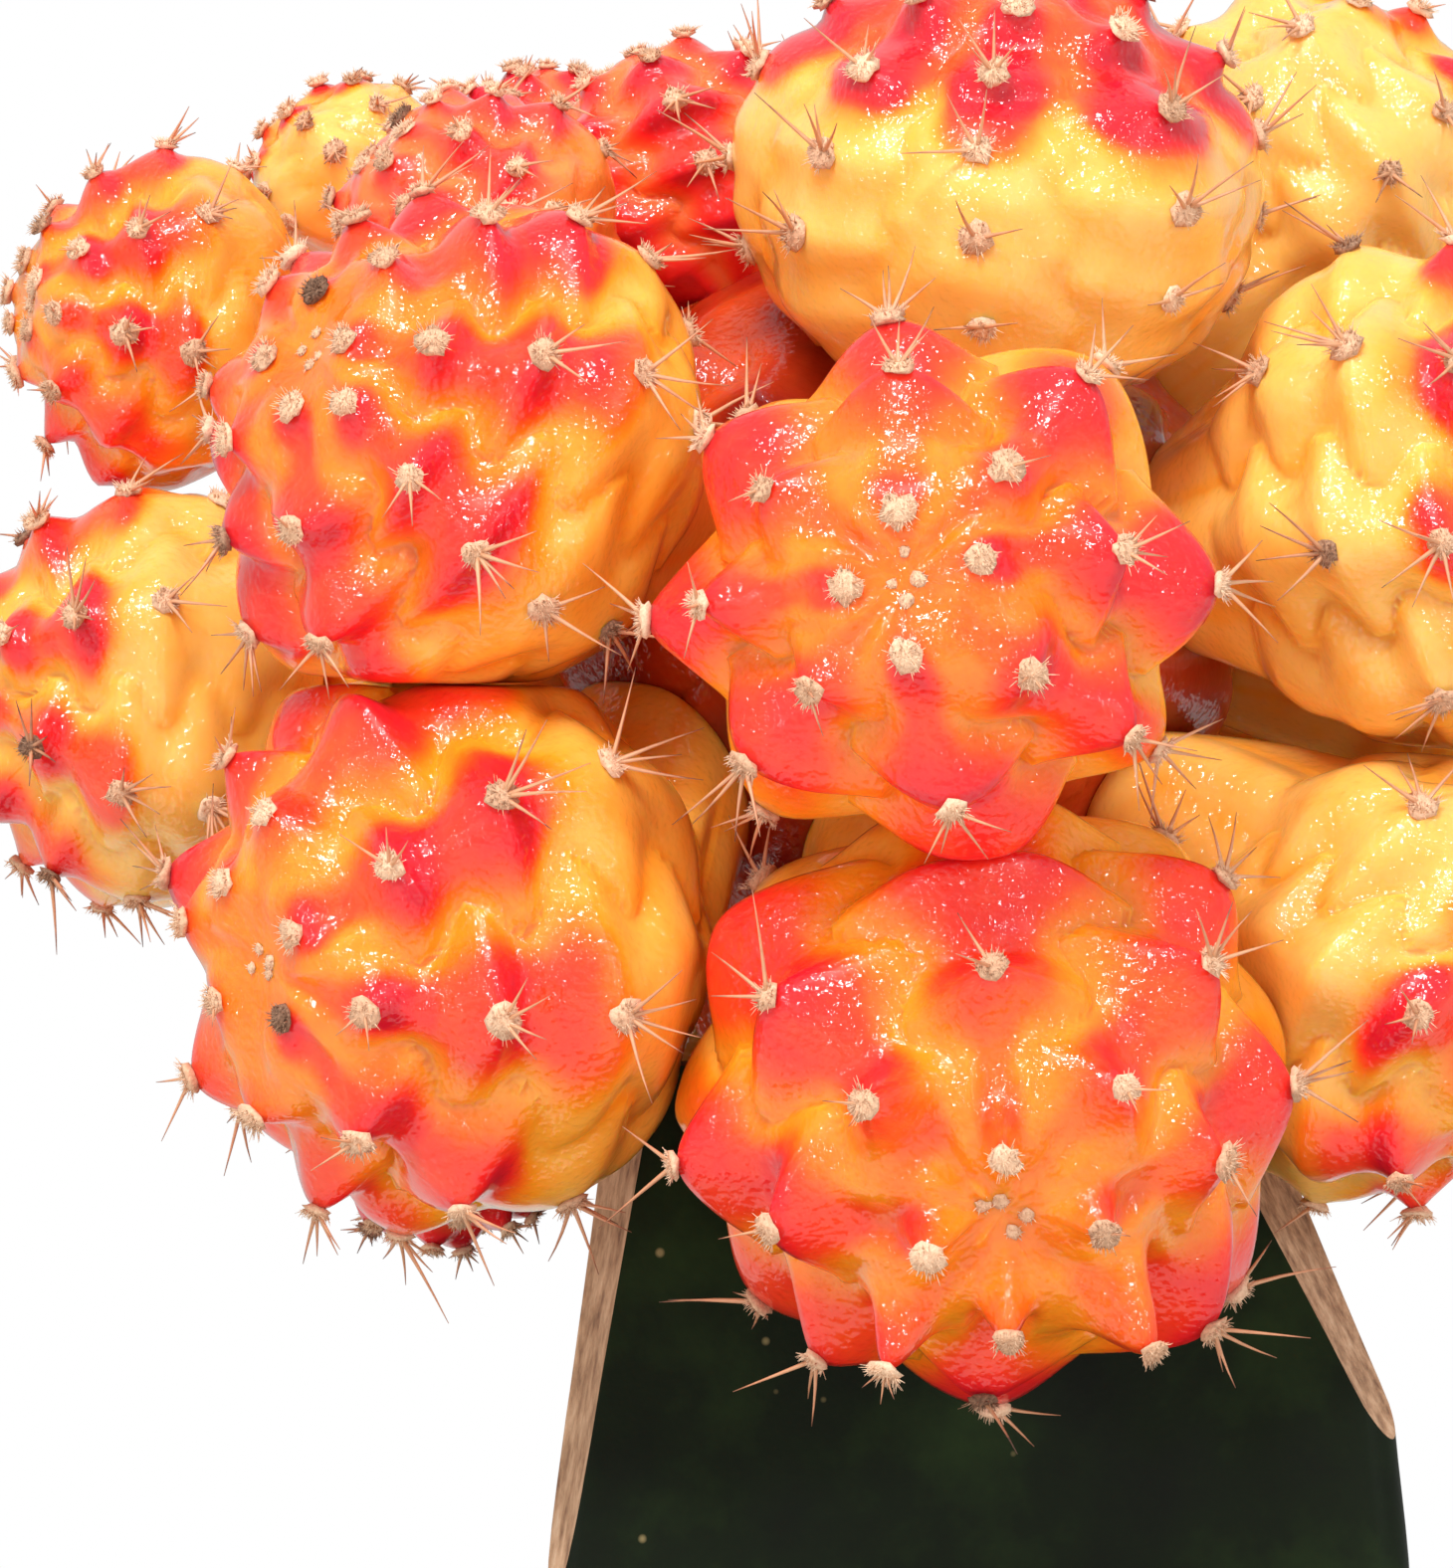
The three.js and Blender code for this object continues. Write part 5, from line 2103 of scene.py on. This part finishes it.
@dataclass
class Studio:
    """A pale floor, soft lights and the camera that the photograph was taken with.

    The camera stands level, 360 mm in front of the plant's axis, and one unit of slope spans
    7920 of the photograph's pixels, of which the frame is 1576 high.
    """

    softboxes: tuple[Softbox, ...] = (
        Softbox("top_softbox", at=(-60, -270, 450), aim=(0, 0, 130), size=120, watts=1.4),
        Softbox("top_spot", at=(-150, -330, 430), aim=(0, 0, 130), size=50, watts=0.4),
        Softbox("right_softbox", at=(300, -420, 260), aim=(0, 0, 125), size=75, watts=0.5),
        Softbox("left_softbox", at=(-320, -440, 200), aim=(0, 0, 125), size=70, watts=0.35),
    )
    camera_at: tuple[float, float, float] = (-11.2, -360, 126)
    pixels_per_slope: float = 7920
    frame_height: float = 1576
    sensor: float = 36
    floor_reach: float = 700
    surround: float = 0.64

    def build(self, paper: bpy.types.Material) -> None:
        """Adds the floor, the lights, the surrounding white and the camera.

        Args:
            paper: the floor's material.
        """
        bm = bmesh.new()
        bmesh.ops.create_grid(bm, x_segments=8, y_segments=8, size=self.floor_reach * MM)
        floor = show(mesh_from(bm, "paper_floor"), "paper_floor", [paper])
        world = bpy.data.worlds.new("white_surround")
        world.use_nodes = True
        tree = world.node_tree
        seen = add_node(tree, "ShaderNodeLightPath").outputs["Is Camera Ray"]
        strength = add_node(
            tree, "ShaderNodeMapRange", {"Value": seen, "To Min": self.surround, "To Max": 1.0}
        )
        background = tree.nodes["Background"]
        background.inputs["Color"].default_value = (1, 1, 1, 1)
        tree.links.new(strength.outputs["Result"], background.inputs["Strength"])
        bpy.context.scene.world = world
        for softbox in self.softboxes:
            softbox.build()
        data = bpy.data.cameras.new("photo_camera")
        data.sensor_width = self.sensor
        data.lens = self.sensor * self.pixels_per_slope / self.frame_height
        data.clip_start = 0.01
        camera = bpy.data.objects.new("photo_camera", data)
        camera.location = Vector(self.camera_at) * MM
        camera.rotation_euler = (math.pi / 2, 0, 0)
        bpy.context.scene.collection.objects.link(camera)
        bpy.context.scene.camera = camera
        bpy.context.scene.view_settings.view_transform = "Standard"


def main() -> None:
    """Builds the plant from the pot up, then the studio, and reports each piece."""
    logging.basicConfig(level=logging.INFO, format="%(name)s: %(message)s")
    wool = AreoleFelt("areole_wool_felt").build()
    horn = SpineHorn("horny_spine").build()
    spines = Spines()

    pot = ClayPot()
    pot_piece = pot.build(FiredClay("unglazed_fired_clay").build())
    tie(pot_piece, "pot")

    soil = PottingMix(pot)
    soil_piece = soil.build(
        [
            CrumbledMatter("damp_peat_crumb", ("#120D0A", "#2A1D15", "#46332A")).build(),
            CrumbledMatter("composted_bark_chip", ("#3A2416", "#6B4429", "#8C6440"), grain=0.5).build(),
            CrumbledMatter("expanded_perlite", ("#B9B4AA", "#DAD7CF", "#F2F0EA"), grain=0.4).build(),
        ]
    )
    tie(soil_piece, "potting_soil")

    stem = Rootstock()
    stem_piece = stem.build(
        [StemSkin("living_stem_skin").build(), CorkScar("dried_cork_scar").build(), wool, horn], spines
    )
    tie(stem_piece, "rootstock")

    Cluster(stem).build(spines, wool, horn)
    Studio().build(PaperSweep("matt_white_paper").build())


if __name__ == "__main__":
    main()
